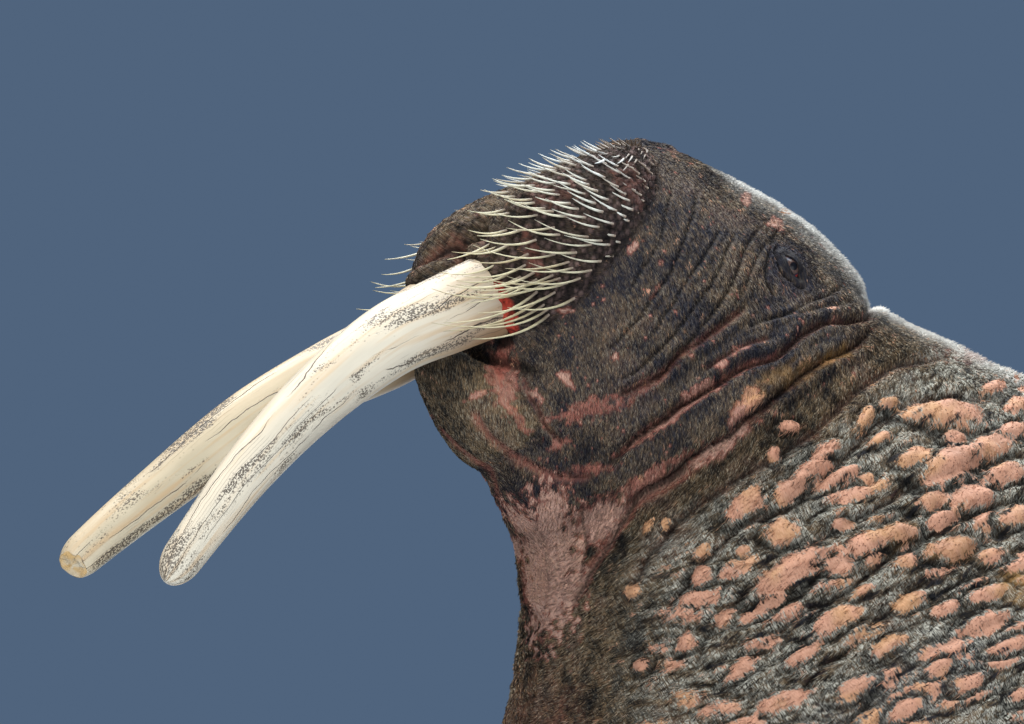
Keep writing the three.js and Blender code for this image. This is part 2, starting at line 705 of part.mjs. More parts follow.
function nails(flipper, sign) {
  const heading = radians(flipper.heading);
  const reach = vec(-Math.cos(heading), sign * Math.sin(heading), 0);
  const spread = vec(-Math.sin(heading), -sign * Math.cos(heading), 0);
  const upward = vec(0, 0, 1);
  return flipper.digits.map((digit, i) => {
    const across = 1 - (2 * i + 1) / flipper.digits.length;
    const middle = vec(flipper.wrist[0], sign * flipper.wrist[1], table(flipper.thickness, NAIL.back))
      .addScaledVector(reach, flipper.length * NAIL.back * digit)
      .addScaledVector(spread, table(flipper.breadth, NAIL.back) * across);
    return ball(middle, [NAIL.long, NAIL.broad, NAIL.high], [reach, spread, upward], 5, 3);
  });
}

function flipper(kind, sign) {
  const whole = wasm.Manifold.union([limb(kind, sign), paddle(kind, sign), ...nails(kind, sign)]);
  return largest(whole.subtract(underFloor));
}

// Nodes, each one closed body.
const nodes = new Map();

function addNode(name, solid, material) {
  const mesh = solid.getMesh();
  const geometry = new THREE.BufferGeometry();
  geometry.setAttribute("position", new THREE.BufferAttribute(new Float32Array(mesh.vertProperties), 3));
  geometry.setIndex(new THREE.BufferAttribute(new Uint32Array(mesh.triVerts), 1));
  geometry.computeVertexNormals();
  const node = new THREE.Mesh(geometry, material);
  node.name = name;
  nodes.set(name, node);
}

const SIDES = [["left", -1], ["right", 1]];
const PAD_ROWS = 10;

function buildHead() {
  let head = trunkPiece(CUTS.snout, CUTS.nape, HEAD_SIDES, 14);
  for (const [side, sign] of SIDES) {
    const lid = lids(sign);
    head = head.add(lid.bulge).subtract(lid.opening);
    head = head.subtract(ball(eyeCentre(sign), Array(3).fill(EYE_RADIUS + GAP), headAxes, 14, 10));
    head = head.subtract(nostril(sign)).subtract(padBlob(sign, GAP, PAD_ROWS)).subtract(tusk(side, GAP));
    addNode("eye_" + side, ball(eyeCentre(sign), Array(3).fill(EYE_RADIUS), headAxes, 14, 10), EYE);
  }
  head = head.subtract(jaw(GAP)).subtract(mouthLine());
  addNode("head", largest(head), SKIN);
}

function buildMuzzle() {
  for (const [side, sign] of SIDES) {
    addNode("tusk_" + side, tusk(side), IVORY);
    const pad = wasm.Manifold.union([padBlob(sign, 0, PAD_ROWS), ...whiskers(side, sign)]);
    addNode("muzzle_pad_" + side, largest(pad.subtract(tusk(side, GAP))), PAD_SKIN);
  }
  const chin = jaw().subtract(tusk("left", GAP)).subtract(tusk("right", GAP)).subtract(mouthLine());
  addNode("lower_jaw", largest(chin), SKIN);
}

// Where bosses grow: the stretch of the trunk, the band round it, how many, and the seed.
const BOSS_FIELDS = {
  neck: [9.0, 11.65, [0.3, 2.2], 33, BOSSES.seed],
  chest: [12.35, 15.4, [0.3, 2.2], 23, BOSSES.seed + 1],
};

function buildTrunk() {
  const pieces = [
    ["neck", CUTS.nape, CUTS.shoulder, 9, BOSS_SKIN],
    ["chest", CUTS.shoulder, CUTS.waist, 8, BOSS_SKIN],
    ["torso", CUTS.waist, CUTS.hips, 7, SKIN],
    ["rump", CUTS.hips, CUTS.tail, 6, SKIN],
    ["tail", CUTS.tail, CUTS.tip, 4, SKIN],
  ];
  for (const [name, from, to, steps, material] of pieces) {
    const lumps = BOSS_FIELDS[name] ? bosses(...BOSS_FIELDS[name]) : [];
    let piece = wasm.Manifold.union([trunkPiece(from, to, BODY_SIDES, steps), ...lumps]).subtract(underFloor);
    for (const [, sign] of SIDES) {
      if (name === "neck") piece = piece.subtract(earSlit(sign));
      if (name === "chest" || name === "torso") piece = piece.subtract(limb(FORE, sign, GAP));
      if (name === "rump" || name === "torso") piece = piece.subtract(limb(HIND, sign, GAP));
    }
    addNode(name, largest(piece), material);
  }
}

function buildFlippers() {
  for (const [side, sign] of SIDES) {
    addNode("fore_flipper_" + side, flipper(FORE, sign), SKIN);
    addNode("hind_flipper_" + side, flipper(HIND, sign), SKIN);
  }
}

buildHead();
buildMuzzle();
buildTrunk();
buildFlippers();

const walrus = new THREE.Group();
walrus.add(...nodes.values());
const bounds = new THREE.Box3().setFromObject(walrus);
const middle = bounds.getCenter(vec(0, 0, 0));
walrus.position.set(-middle.x, -middle.y, -bounds.min.z);

export default walrus;
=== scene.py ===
"""The looks of an adult male walrus at life size, chest raised on its fore flippers and head thrown up.

Shapes are worked out in millimetres in the walrus's own frame: it faces -X, its left side is towards -Y
and it rests on the floor at Z = 0. Placement moves them into the shared frame, in metres.
"""

import logging
import math
from dataclasses import dataclass, field
from enum import Enum
from functools import cached_property

import bpy
import numpy as np
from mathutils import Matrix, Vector
from mathutils.kdtree import KDTree


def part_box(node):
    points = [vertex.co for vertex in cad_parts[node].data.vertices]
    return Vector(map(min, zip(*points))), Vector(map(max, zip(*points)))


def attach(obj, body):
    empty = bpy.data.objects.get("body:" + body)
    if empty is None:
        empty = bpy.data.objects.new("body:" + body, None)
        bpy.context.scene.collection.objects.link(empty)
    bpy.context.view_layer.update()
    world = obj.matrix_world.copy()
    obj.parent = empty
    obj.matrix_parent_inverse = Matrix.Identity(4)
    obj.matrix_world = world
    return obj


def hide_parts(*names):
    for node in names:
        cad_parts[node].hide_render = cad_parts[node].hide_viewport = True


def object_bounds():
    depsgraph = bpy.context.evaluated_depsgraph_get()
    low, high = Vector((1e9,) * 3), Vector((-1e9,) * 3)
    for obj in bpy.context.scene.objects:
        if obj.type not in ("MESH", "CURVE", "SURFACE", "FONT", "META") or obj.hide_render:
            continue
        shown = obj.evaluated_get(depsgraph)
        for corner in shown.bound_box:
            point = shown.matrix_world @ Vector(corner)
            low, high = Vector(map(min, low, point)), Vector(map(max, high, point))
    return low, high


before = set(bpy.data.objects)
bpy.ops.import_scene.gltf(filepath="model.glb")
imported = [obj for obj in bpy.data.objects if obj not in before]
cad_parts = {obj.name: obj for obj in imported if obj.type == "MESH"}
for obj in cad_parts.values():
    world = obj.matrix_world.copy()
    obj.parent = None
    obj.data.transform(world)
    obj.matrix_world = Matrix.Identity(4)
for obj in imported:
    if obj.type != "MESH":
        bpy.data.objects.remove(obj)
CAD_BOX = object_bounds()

log = logging.getLogger("walrus")

BODY = "root"
TURN = 2 * np.pi
Array = np.ndarray
# A surface as points and faces, where faces are grouped by their number of corners.
Surface = tuple[Array, list[Array]]


class Side(Enum):
    """A side of the body: its sign along the line to the right side."""

    LEFT = -1
    RIGHT = 1

    @property
    def label(self) -> str:
        """The side as it stands in the names of nodes."""
        return self.name.lower()


class Tone(Enum):
    """A marking of the hide, kept as a number from 0 to 1 at each point."""

    BARE = "bare"
    BLUSH = "blush"
    GUM = "gum"
    # This tone is painted shade: it darkens the colour in creases, moats, hollows, round the lids, in the
    # nostrils and along the mouth.
    HOLLOW = "hollow"
    # Pale frosted hair with painted rim light along the upper edge that the camera sees.
    FROST = "frost"
    # Bluish dark skin; round the eyes it also stands for painted shade of the brow and lids.
    SLATE = "slate"
    MUZZLE = "muzzle"
    STAIN = "stain"
    COBBLE = "cobble"


class Part(Enum):
    """The stretch of the body that a point of the hide lies on."""

    TRUNK = 0
    PAD_LEFT = 1
    PAD_RIGHT = 2
    JAW = 3
    FORE_LEFT = 4
    FORE_RIGHT = 5
    HIND_LEFT = 6
    HIND_RIGHT = 7


# Numbers that vary smoothly over a surface.


def smooth_step(low: float, high: float, value: Array) -> Array:
    """A number that goes smoothly from 0 at low to 1 at high.

    Args:
        low: value where the step starts.
        high: value where it ends, which may be lower than low.
        value: values to read.

    Returns:
        Numbers from 0 to 1.
    """
    share = np.clip((np.asarray(value, float) - low) / (high - low), 0, 1)
    return share * share * (3 - 2 * share)


def signed_power(value: Array, power: Array) -> Array:
    """A power of a number's size that keeps its sign."""
    return np.sign(value) * np.abs(value) ** power


def unit(vectors: Array) -> Array:
    """Vectors of length one along the last axis."""
    return vectors / np.maximum(np.linalg.norm(vectors, axis=-1, keepdims=True), 1e-9)


def turned(x: Array, y: Array, degrees: float) -> tuple[Array, Array]:
    """Coordinates along and across a line that rises to the right by an angle, with y pointing down.

    Args:
        x: horizontal coordinates.
        y: vertical coordinates, downwards.
        degrees: the line's angle.

    Returns:
        The coordinates along the line and across it.
    """
    angle = math.radians(degrees)
    return x * math.cos(angle) - y * math.sin(angle), x * math.sin(angle) + y * math.cos(angle)


def catmull(points: Array, share: Array) -> Array:
    """A centripetal Catmull-Rom curve.

    Args:
        points: the points that it goes through.
        share: places on it from 0 to 1, with the points evenly spread.

    Returns:
        One point for each place.
    """
    spans = len(points) - 1
    padded = np.vstack([2 * points[0] - points[1], points, 2 * points[-1] - points[-2]])
    place = np.clip(share, 0, 1) * spans
    index = np.minimum(place.astype(int), spans - 1)
    local = (place - index)[:, None]
    before, start, end, after = (padded[index + k] for k in range(4))
    first, middle, last = (
        (((b - a) ** 2).sum(-1) ** 0.25)[:, None]
        for a, b in ((before, start), (start, end), (end, after))
    )
    middle = np.where(middle < 1e-4, 1, middle)
    first = np.where(first < 1e-4, middle, first)
    last = np.where(last < 1e-4, middle, last)
    leave = (start - before) / first - (end - before) / (first + middle) + (end - start) / middle
    arrive = (end - start) / middle - (after - start) / (middle + last) + (after - end) / last
    leave *= middle
    arrive *= middle
    square = 3 * (end - start) - 2 * leave - arrive
    cube = 2 * (start - end) + leave + arrive
    return start + leave * local + square * local**2 + cube * local**3


def even_curve(points: Array, share: Array) -> tuple[Array, Array]:
    """A Catmull-Rom curve read by its length.

    Args:
        points: the points that it goes through.
        share: shares of its length.

    Returns:
        Points on the curve, and the directions in which it goes on there.
    """
    fine = catmull(points, np.linspace(0, 1, 600))
    length = np.concatenate([[0], np.cumsum(np.linalg.norm(np.diff(fine, axis=0), axis=1))])
    wanted = np.asarray(share) * length[-1]
    place = np.stack([np.interp(wanted, length, fine[:, k]) for k in range(3)], -1)
    slope = np.gradient(fine, axis=0)
    onward = np.stack([np.interp(wanted, length, slope[:, k]) for k in range(3)], -1)
    return place, unit(onward)


def net(start: float, end: float, rows: int, sides: int) -> tuple[Array, Array]:
    """Places from start to end, and turns round the body at each, as two grids with a row a place."""
    places, turns = np.linspace(start, end, rows), np.arange(sides) / sides * TURN
    return np.repeat(places[:, None], sides, 1), np.repeat(turns[None], rows, 0)


def scramble(cells: Array, seed: int) -> Array:
    """A whole number for each cell of a grid that looks drawn at random.

    Args:
        cells: whole-number places, one a row.
        seed: picks one pattern.

    Returns:
        Numbers of 32 bits.
    """
    mixed = np.full(len(cells), seed * 668265263 + 374761393, np.uint64)
    for axis in range(cells.shape[1]):
        mixed ^= cells[:, axis].astype(np.int64).astype(np.uint64) * np.uint64(2654435761 + 97 * axis)
        mixed = (mixed ^ (mixed >> np.uint64(15))) * np.uint64(2246822519)
        mixed &= np.uint64(0xFFFFFFFF)
        mixed = (mixed ^ (mixed >> np.uint64(13))) * np.uint64(3266489917)
        mixed &= np.uint64(0xFFFFFFFF)
    return mixed ^ (mixed >> np.uint64(16))


def thirds(drawn: Array) -> Array:
    """Three numbers from 0 to 1 out of the bits of each whole number."""
    return np.stack([((drawn >> np.uint64(10 * k)) & np.uint64(1023)) / 1023 for k in range(3)], -1)


def bell(value: Array, middle: float, width: float | Array) -> Array:
    """A number that is 1 at a middle and falls to nothing a few widths away on both sides."""
    return np.exp(-(((value - middle) / width) ** 2))


def noise(points: Array, seed: int) -> Array:
    """Smooth noise over space with a grain of about one unit.

    Args:
        points: places to read, three numbers a row.
        seed: picks one pattern.

    Returns:
        Numbers from about -1 to 1.
    """
    cell = np.floor(points).astype(np.int64)
    inside = points - cell
    fade = inside**3 * (inside * (inside * 6 - 15) + 10)
    total = np.zeros(len(points))
    for corner in np.ndindex(2, 2, 2):
        slopes = 2 * thirds(scramble(cell + np.array(corner), seed)) - 1
        value = (slopes * (inside - np.array(corner))).sum(1)
        weight = np.prod([fade[:, k] if corner[k] else 1 - fade[:, k] for k in range(3)], axis=0)
        total += value * weight
    return np.clip(total * 1.25, -1, 1)


def cells(points: Array, seed: int) -> tuple[Array, Array, Array, Array]:
    """A plane strewn with one spot for each unit square.

    Args:
        points: places to read, two numbers a row.
        seed: picks one pattern.

    Returns:
        The way from the nearest spot, the distances to the nearest and the next, and three numbers
        from 0 to 1 that the nearest spot keeps.
    """
    square = np.floor(points).astype(np.int64)
    near = np.full(len(points), 9.0)
    following = np.full(len(points), 9.0)
    away = np.zeros((len(points), 2))
    kept = np.zeros((len(points), 3))
    for shift in np.ndindex(3, 3):
        here = square + np.array(shift) - 1
        own = thirds(scramble(here, seed))
        offset = points - here - 0.5 - 0.72 * (own[:, :2] - 0.5)
        distance = np.linalg.norm(offset, axis=1)
        closer = distance < near
        following = np.where(closer, near, np.minimum(following, distance))
        near = np.where(closer, distance, near)
        away[closer] = offset[closer]
        kept[closer] = own[closer]
    return away, near, following, kept


# Frames of reference.


@dataclass(frozen=True)
class HeadFrame:
    """The head's own axes: forward along the snout, across to its right side and down to the chin.

    Its zero is midway between the places where the tusks leave the gum.
    """

    snout_rise: float = 45.0
    roll: float = 17.0
    place: tuple[float, float, float] = (-82.0, -50.0, 1141.0)

    @cached_property
    def axes(self) -> Array:
        """Forward, across and down as the rows of a matrix."""
        rise, roll = math.radians(self.snout_rise), math.radians(self.roll)
        chinward = np.array([-math.sin(rise), 0, -math.cos(rise)])
        rightward = np.array([0.0, 1, 0])
        forward = np.array([-math.cos(rise), 0, math.sin(rise)])
        across = math.cos(roll) * rightward + math.sin(roll) * chinward
        down = math.cos(roll) * chinward - math.sin(roll) * rightward
        return np.stack([forward, across, down])

    def point(self, forward: Array, across: Array, down: Array) -> Array:
        """Points of the head's frame in the walrus's frame."""
        local = np.stack(np.broadcast_arrays(forward, across, down), -1).astype(float)
        return local @ self.axes + np.array(self.place)

    def local(self, points: Array) -> Array:
        """Points of the walrus's frame in the head's frame."""
        return (points - np.array(self.place)) @ self.axes.T


@dataclass(frozen=True)
class PhotoView:
    """How the photograph sees the walrus: level, from its left side and a little from the front."""

    yaw: float = 18.0
    mm_per_pixel: float = 1.08
    origin_column: float = 515.0
    level_row: float = 135.0
    level: float = 1330.0
    width: int = 1024
    height: int = 724

    @cached_property
    def look(self) -> Array:
        """The direction in which the camera looks."""
        return np.array([math.sin(math.radians(self.yaw)), math.cos(math.radians(self.yaw)), 0])

    @cached_property
    def rightward(self) -> Array:
        """The direction that goes right in the picture."""
        return np.array([math.cos(math.radians(self.yaw)), -math.sin(math.radians(self.yaw)), 0])

    def pixels(self, points: Array) -> Array:
        """Columns and rows of the picture where points show."""
        column = self.origin_column + points @ self.rightward / self.mm_per_pixel
        row = self.level_row + (self.level - points[..., 2]) / self.mm_per_pixel
        return np.stack([column, row], -1)


HEAD = HeadFrame()
VIEW = PhotoView()

EYE_RADIUS = 17.0
EYE_PLACE = (-224.0, 121.0, -262.0)


@dataclass(frozen=True)
class Placement:
    """Moves the walrus's frame into the shared one, by the place of the left eye's node."""

    node: str = "eye_left"

    @cached_property
    def origin(self) -> Array:
        """Where the walrus's own zero lies, in metres."""
        low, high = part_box(self.node)
        eye = HEAD.point(EYE_PLACE[0], Side.LEFT.value * EYE_PLACE[1], EYE_PLACE[2])
        return np.array((low + high) / 2) - eye / 1000

    def world(self, points: Array) -> Array:
        """Points in metres in the shared frame."""
        return points / 1000 + self.origin


PLACEMENT = Placement()


# Meshes from arrays.


def make_mesh(name: str, surface: Surface, in_place: bool = True) -> bpy.types.Mesh:
    """A smooth mesh from points and faces.

    Args:
        name: its name.
        surface: points in the walrus's frame, and faces.
        in_place: moves it into the shared frame.

    Returns:
        The mesh.
    """
    points, faces = surface
    corners = np.concatenate([group.ravel() for group in faces])
    totals = np.concatenate([np.full(len(group), group.shape[1]) for group in faces])
    starts = np.concatenate([[0], np.cumsum(totals)[:-1]])
    mesh = bpy.data.meshes.new(name)
    mesh.vertices.add(len(points))
    placed = PLACEMENT.world(points) if in_place else points
    mesh.vertices.foreach_set("co", placed.astype(np.float32).ravel())
    mesh.loops.add(len(corners))
    mesh.loops.foreach_set("vertex_index", corners.astype(np.int32))
    mesh.polygons.add(len(totals))
    mesh.polygons.foreach_set("loop_start", starts.astype(np.int32))
    mesh.update(calc_edges=True)
    mesh.shade_smooth()
    return mesh


def add_piece(
    mesh: bpy.types.Mesh, material: bpy.types.Material, nodes: list[str]
) -> bpy.types.Object:
    """Puts a finished mesh on the walrus.

    Args:
        mesh: the mesh, named as its piece.
        material: its finish.
        nodes: the nodes that it stands for.

    Returns:
        The piece.
    """
    mesh.materials.append(material)
    piece = bpy.data.objects.new(mesh.name, mesh)
    bpy.context.scene.collection.objects.link(piece)
    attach(piece, BODY)
    if nodes:
        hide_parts(*nodes)
    log.info("%s: %d points, %d faces", mesh.name, len(mesh.vertices), len(mesh.polygons))
    return piece


def set_numbers(mesh: bpy.types.Mesh, name: str, values: Array) -> None:
    """Keeps one number or one vector for each point of a mesh.

    Args:
        mesh: the mesh.
        name: the attribute's name.
        values: one value a point, or three.
    """
    kind = "FLOAT_VECTOR" if values.ndim == 2 else "FLOAT"
    attribute = mesh.attributes.new(name, kind, "POINT")
    attribute.data.foreach_set("vector" if values.ndim == 2 else "value", values.astype(np.float32).ravel())


def loft(rings: Array) -> Surface:
    """A closed surface through rings of points, with a fan over each end.

    Args:
        rings: rows of rings, each with the same number of points.

    Returns:
        The surface.
    """
    count, sides = rings.shape[:2]
    points = np.vstack([rings.reshape(-1, 3), rings[0].mean(0), rings[-1].mean(0)])
    row, column = np.meshgrid(np.arange(count - 1), np.arange(sides), indexing="ij")
    following = (column + 1) % sides
    ring, onto = row * sides, (row + 1) * sides
    quads = np.stack([ring + column, ring + following, onto + following, onto + column], -1).reshape(-1, 4)
    around = np.arange(sides)
    onward = (around + 1) % sides
    start = np.stack([onward, around, np.full(sides, count * sides)], -1)
    last = (count - 1) * sides
    end = np.stack([last + around, last + onward, np.full(sides, count * sides + 1)], -1)
    corners = points[quads]
    volume = (corners[:, 0] * np.cross(corners[:, 1], corners[:, 2])).sum()
    volume += (corners[:, 0] * np.cross(corners[:, 2], corners[:, 3])).sum()
    caps = np.vstack([start, end])
    corners = points[caps]
    volume += (corners[:, 0] * np.cross(corners[:, 1], corners[:, 2])).sum()
    if volume < 0:
        return points, [quads[:, ::-1], caps[:, ::-1]]
    return points, [quads, caps]


def joined(surfaces: list[Surface]) -> Surface:
    """Several surfaces as one, left as separate shells."""
    shift = 0
    groups: dict[int, list[Array]] = {}
    for points, faces in surfaces:
        for group in faces:
            groups.setdefault(group.shape[1], []).append(group + shift)
        shift += len(points)
    return np.vstack([points for points, _ in surfaces]), [np.vstack(groups[k]) for k in sorted(groups)]


def face_sums(surface: Surface) -> Array:
    """A vector at each point along its normal, from the faces around it."""
    points, faces = surface
    total = np.zeros_like(points)
    for group in faces:
        corners = points[group]
        normal = np.cross(corners, np.roll(corners, -1, axis=1)).sum(1)
        for k in range(group.shape[1]):
            for axis in range(3):
                total[:, axis] += np.bincount(group[:, k], normal[:, axis], len(points))
    return total


def edges_of(faces: list[Array]) -> Array:
    """Each edge of a surface once, as pairs of points."""
    pairs = np.vstack([np.stack([group, np.roll(group, -1, axis=1)], -1).reshape(-1, 2) for group in faces])
    return np.unique(np.sort(pairs, axis=1), axis=0)


def relaxed(surface: Surface, rounds: int, weight: Array) -> Array:
    """Points of a surface drawn towards their neighbours.

    Args:
        surface: the surface.
        rounds: how many times.
        weight: how strongly, for each point.

    Returns:
        The new points.
    """
    points, faces = surface
    first, second = edges_of(faces).T
    degree = np.bincount(first, minlength=len(points)) + np.bincount(second, minlength=len(points))
    for _ in range(rounds):
        total = [
            np.bincount(first, points[second, k], len(points))
            + np.bincount(second, points[first, k], len(points))
            for k in range(3)
        ]
        mean = np.stack(total, -1) / np.maximum(degree, 1)[:, None]
        points = points + weight[:, None] * (mean - points)
    return points


def refined(surface: Surface, chosen: Array) -> Surface:
    """Splits some of a surface's quads in four, and keeps it closed.

    Args:
        surface: the surface, whose group of quads is split.
        chosen: which of its quads, one truth value each.

    Returns:
        The finer surface.
    """
    points, faces = surface
    quads = next(group for group in faces if group.shape[1] == 4)
    others = [face for group in faces if group.shape[1] != 4 for face in group.tolist()]
    size = len(points)

    def keys(group: Array) -> Array:
        """One number for each edge of each face."""
        pairs = np.sort(np.stack([group, np.roll(group, -1, axis=1)], -1), axis=-1)
        return pairs[..., 0] * size + pairs[..., 1]

    split = quads[chosen]
    edges, place = np.unique(keys(split), return_inverse=True)
    middles = size + place.reshape(split.shape)
    hubs = size + len(edges) + np.arange(len(split))
    fresh = [
        np.stack([split[:, k], middles[:, k], hubs, middles[:, k - 1]], -1) for k in range(4)
    ]
    kept = quads[~chosen]
    kept_keys = keys(kept)
    found = np.minimum(np.searchsorted(edges, kept_keys), len(edges) - 1)
    touched = (edges[found] == kept_keys).any(1)
    middle_of = dict(zip(edges.tolist(), range(size, size + len(edges))))
    by_corners: dict[int, list[list[int]]] = {}
    for face in kept[touched].tolist() + others:
        longer = []
        for a, b in zip(face, face[1:] + face[:1]):
            longer.append(a)
            middle = middle_of.get(min(a, b) * size + max(a, b))
            if middle is not None:
                longer.append(middle)
        by_corners.setdefault(len(longer), []).append(longer)
    ends = np.stack([edges // size, edges % size])
    finer = np.vstack([points, points[ends].mean(0), points[split].mean(1)])
    whole = np.vstack([kept[~touched], *fresh, np.array(by_corners.pop(4, []), int).reshape(-1, 4)])
    return finer, [whole] + [np.array(by_corners[k]) for k in sorted(by_corners)]


# The walrus's main forms. Their sizes are those of its solid parts.


HEAD_SECTIONS = (
    ((2, -262), (2, -18), 40, 0, 1),
    ((-20, -296), (-14, 10), 90, 0.04, 0.95),
    ((-55, -321), (-44, 28), 118, 0.08, 0.92),
    ((-100, -338), (-84, 66), 140, 0.1, 0.92),
    ((-150, -355), (-122, 86), 150, 0.12, 0.92),
    ((-200, -369), (-150, 96), 157, 0.12, 0.93),
    ((-250, -378), (-176, 104), 166, 0.12, 0.94),
    ((-300, -376), (-198, 110), 180, 0.1, 0.95),
    ((-338, -364), (-216, 116), 196, 0.08, 0.96),
)
BODY_SECTIONS = (
    ((434, 1136), (6, 884), 214, 13, 0.06, 0.97),
    ((490, 1110), (16, 828), 240, 8, 0.06, 0.97),
    ((570, 1072), (14, 745), 285, 4, 0.08, 0.97),
    ((680, 1025), (-4, 636), 338, 1, 0.1, 0.97),
    ((820, 972), (-24, 508), 392, 0, 0.1, 0.96),
    ((980, 918), (-14, 365), 438, 0, 0.08, 0.95),
    ((1150, 866), (56, 222), 474, 0, 0.06, 0.93),
    ((1330, 812), (224, 96), 500, 0, 0.05, 0.9),
    ((1510, 758), (480, 12), 510, 0, 0.05, 0.87),
    ((1690, 700), (840, -14), 506, 0, 0.06, 0.86),
    ((1880, 630), (1250, -14), 480, 0, 0.06, 0.86),
    ((2080, 542), (1680, -14), 430, 0, 0.06, 0.88),
    ((2270, 436), (2050, -14), 352, 0, 0.06, 0.92),
    ((2420, 330), (2320, -10), 258, 0, 0.06, 0.96),
    ((2530, 238), (2480, 6), 168, 0, 0, 1),
    ((2612, 166), (2590, 30), 92, 0, 0, 1),
    ((2676, 116), (2672, 52), 40, 0, 0, 1),
)


@dataclass
class Trunk:
    """Head, neck and body in one, through their cross-sections from the snout to the tail."""

    fineness: int = 4000
    last: int = len(HEAD_SECTIONS) + len(BODY_SECTIONS) - 1
    table: Array = field(init=False)
    along: Array = field(init=False)

    def __post_init__(self) -> None:
        """Reads the sections into a fine table."""
        rows = []
        for back, below, wide, pear, square in HEAD_SECTIONS:
            rows.append([HEAD.point(back[0], 0, back[1]), HEAD.point(below[0], 0, below[1]),
                         HEAD.axes[1], np.array([wide, pear, square])])
        rightward = np.array([0.0, 1, 0])
        for back, below, wide, roll, pear, square in BODY_SECTIONS:
            high, low = np.array([back[0], 0, back[1]]), np.array([below[0], 0, below[1]])
            half = np.linalg.norm(low - high) / 2
            down = (low - high) / (2 * half)
            cosine, sine = math.cos(math.radians(roll)), math.sin(math.radians(roll))
            rolled = cosine * down - sine * rightward
            middle = (high + low) / 2
            rows.append([middle - half * rolled, middle + half * rolled,
                         cosine * rightward + sine * down, np.array([wide, pear, square])])
        sections = np.array(rows, float)
        share = np.linspace(0, 1, self.fineness + 1)
        self.table = np.hstack([catmull(sections[:, k], share) for k in range(4)])
        middles = (self.table[:, :3] + self.table[:, 3:6]) / 2
        self.along = np.concatenate([[0], np.cumsum(np.linalg.norm(np.diff(middles, axis=0), axis=1))])

    def rows(self, place: Array) -> Array:
        """Cross-sections at places counted in sections from the snout."""
        spot = np.clip(place / self.last, 0, 1) * self.fineness
        index = np.minimum(spot.astype(int), self.fineness - 1)
        share = (spot - index)[:, None]
        return self.table[index] * (1 - share) + self.table[index + 1] * share

    def at(self, place: Array, turn: Array, grow: float = 0.0) -> Array:
        """Points of the surface.

        Args:
            place: sections from the snout.
            turn: radians from the back (0) over the left side to the belly (pi).
            grow: how far outside the surface.

        Returns:
            The points.
        """
        place, turn = np.broadcast_arrays(np.asarray(place, float), np.asarray(turn, float))
        rows = self.rows(place.ravel())
        angle = turn.ravel()
        back, below, across = rows[:, :3], rows[:, 3:6], unit(rows[:, 6:9])
        wide, pear, square = rows[:, 9], rows[:, 10], rows[:, 11]
        fall = below - back
        half = np.linalg.norm(fall, axis=1) / 2 + grow
        level = signed_power(-np.cos(angle), square)
        side = -signed_power(np.sin(angle), square) * (wide + grow) * (1 + pear * level)
        points = (back + below) / 2 + unit(fall) * (half * level)[:, None] + across * side[:, None]
        return points.reshape(*place.shape, 3)

    def girth(self, place: Array) -> Array:
        """The mean radius round the body."""
        rows = self.rows(place)
        return (rows[:, 9] + np.linalg.norm(rows[:, 3:6] - rows[:, :3], axis=1) / 2) / 2

    def distance_along(self, place: Array) -> Array:
        """Millimetres from the snout along the body's middle."""
        return np.interp(place / self.last * self.fineness, np.arange(self.fineness + 1), self.along)

    def surface(self, grow: float) -> Surface:
        """The closed surface, some way inside or outside the solid's."""
        place, turn = net(0, self.last, 320, 144)
        return loft(self.at(place, turn, grow))


PAD_SECTIONS = (
    (-272, -24, -46, 26, 66),
    (-262, -12, -56, 17, 88),
    (-240, 2, -66, 10, 110),
    (-205, 21, -76, 6, 129),
    (-165, 40, -82, 5, 142),
    (-125, 54, -86, 5, 148),
    (-90, 58, -86, 5, 149),
    (-55, 48, -83, 6, 145),
    (-25, 30, -76, 10, 134),
    (-6, 10, -64, 18, 119),
    (2, -6, -50, 30, 102),
)


@dataclass
class LipPad:
    """A whiskered pad of the upper lip, through sections across the snout from crown to lip."""

    side: Side
    square: float = 0.86
    table: Array = field(init=False)

    def __post_init__(self) -> None:
        """Reads the sections into a fine table of down, front, rear, inner and outer."""
        rows = np.array(PAD_SECTIONS, float)
        share = np.linspace(0, 1, 401)
        depth = catmull(rows[:, [0, 1, 2]], share)
        breadth = catmull(rows[:, [0, 3, 4]], share)
        self.table = np.hstack([depth, breadth[:, 1:]])

    def at(self, share: Array, turn: Array, grow: float = 0.0) -> Array:
        """Points of the pad.

        Args:
            share: from crown (0) to lip (1).
            turn: radians from the front (0) over the outer side to the rear (pi).
            grow: how far outside the surface.

        Returns:
            The points.
        """
        share, turn = np.broadcast_arrays(np.asarray(share, float), np.asarray(turn, float))
        down, front, rear, inner, outer = (
            np.interp(share, np.linspace(0, 1, len(self.table)), self.table[:, k]) for k in range(5)
        )
        deep = (front - rear) / 2 + grow
        broad = (outer - inner) / 2 + grow
        forward = (front + rear) / 2 + deep * signed_power(np.cos(turn), self.square)
        across = (inner + outer) / 2 + broad * signed_power(np.sin(turn), self.square)
        return HEAD.point(forward, self.side.value * across, down + grow * (2 * share - 1))

    def surface(self, grow: float) -> Surface:
        """The closed surface of the pad."""
        share, turn = net(0, 1, 60, 72)
        rings = self.at(share, turn, grow)
        return loft(rings if self.side is Side.RIGHT else rings[:, ::-1])


JAW_SECTIONS = (
    (2, 52, 76, 14),
    (-4, 44, 86, 27),
    (-20, 39, 92, 38),
    (-44, 37, 97, 52),
    (-78, 37, 101, 68),
    (-112, 40, 102, 80),
    (-142, 48, 96, 84),
)


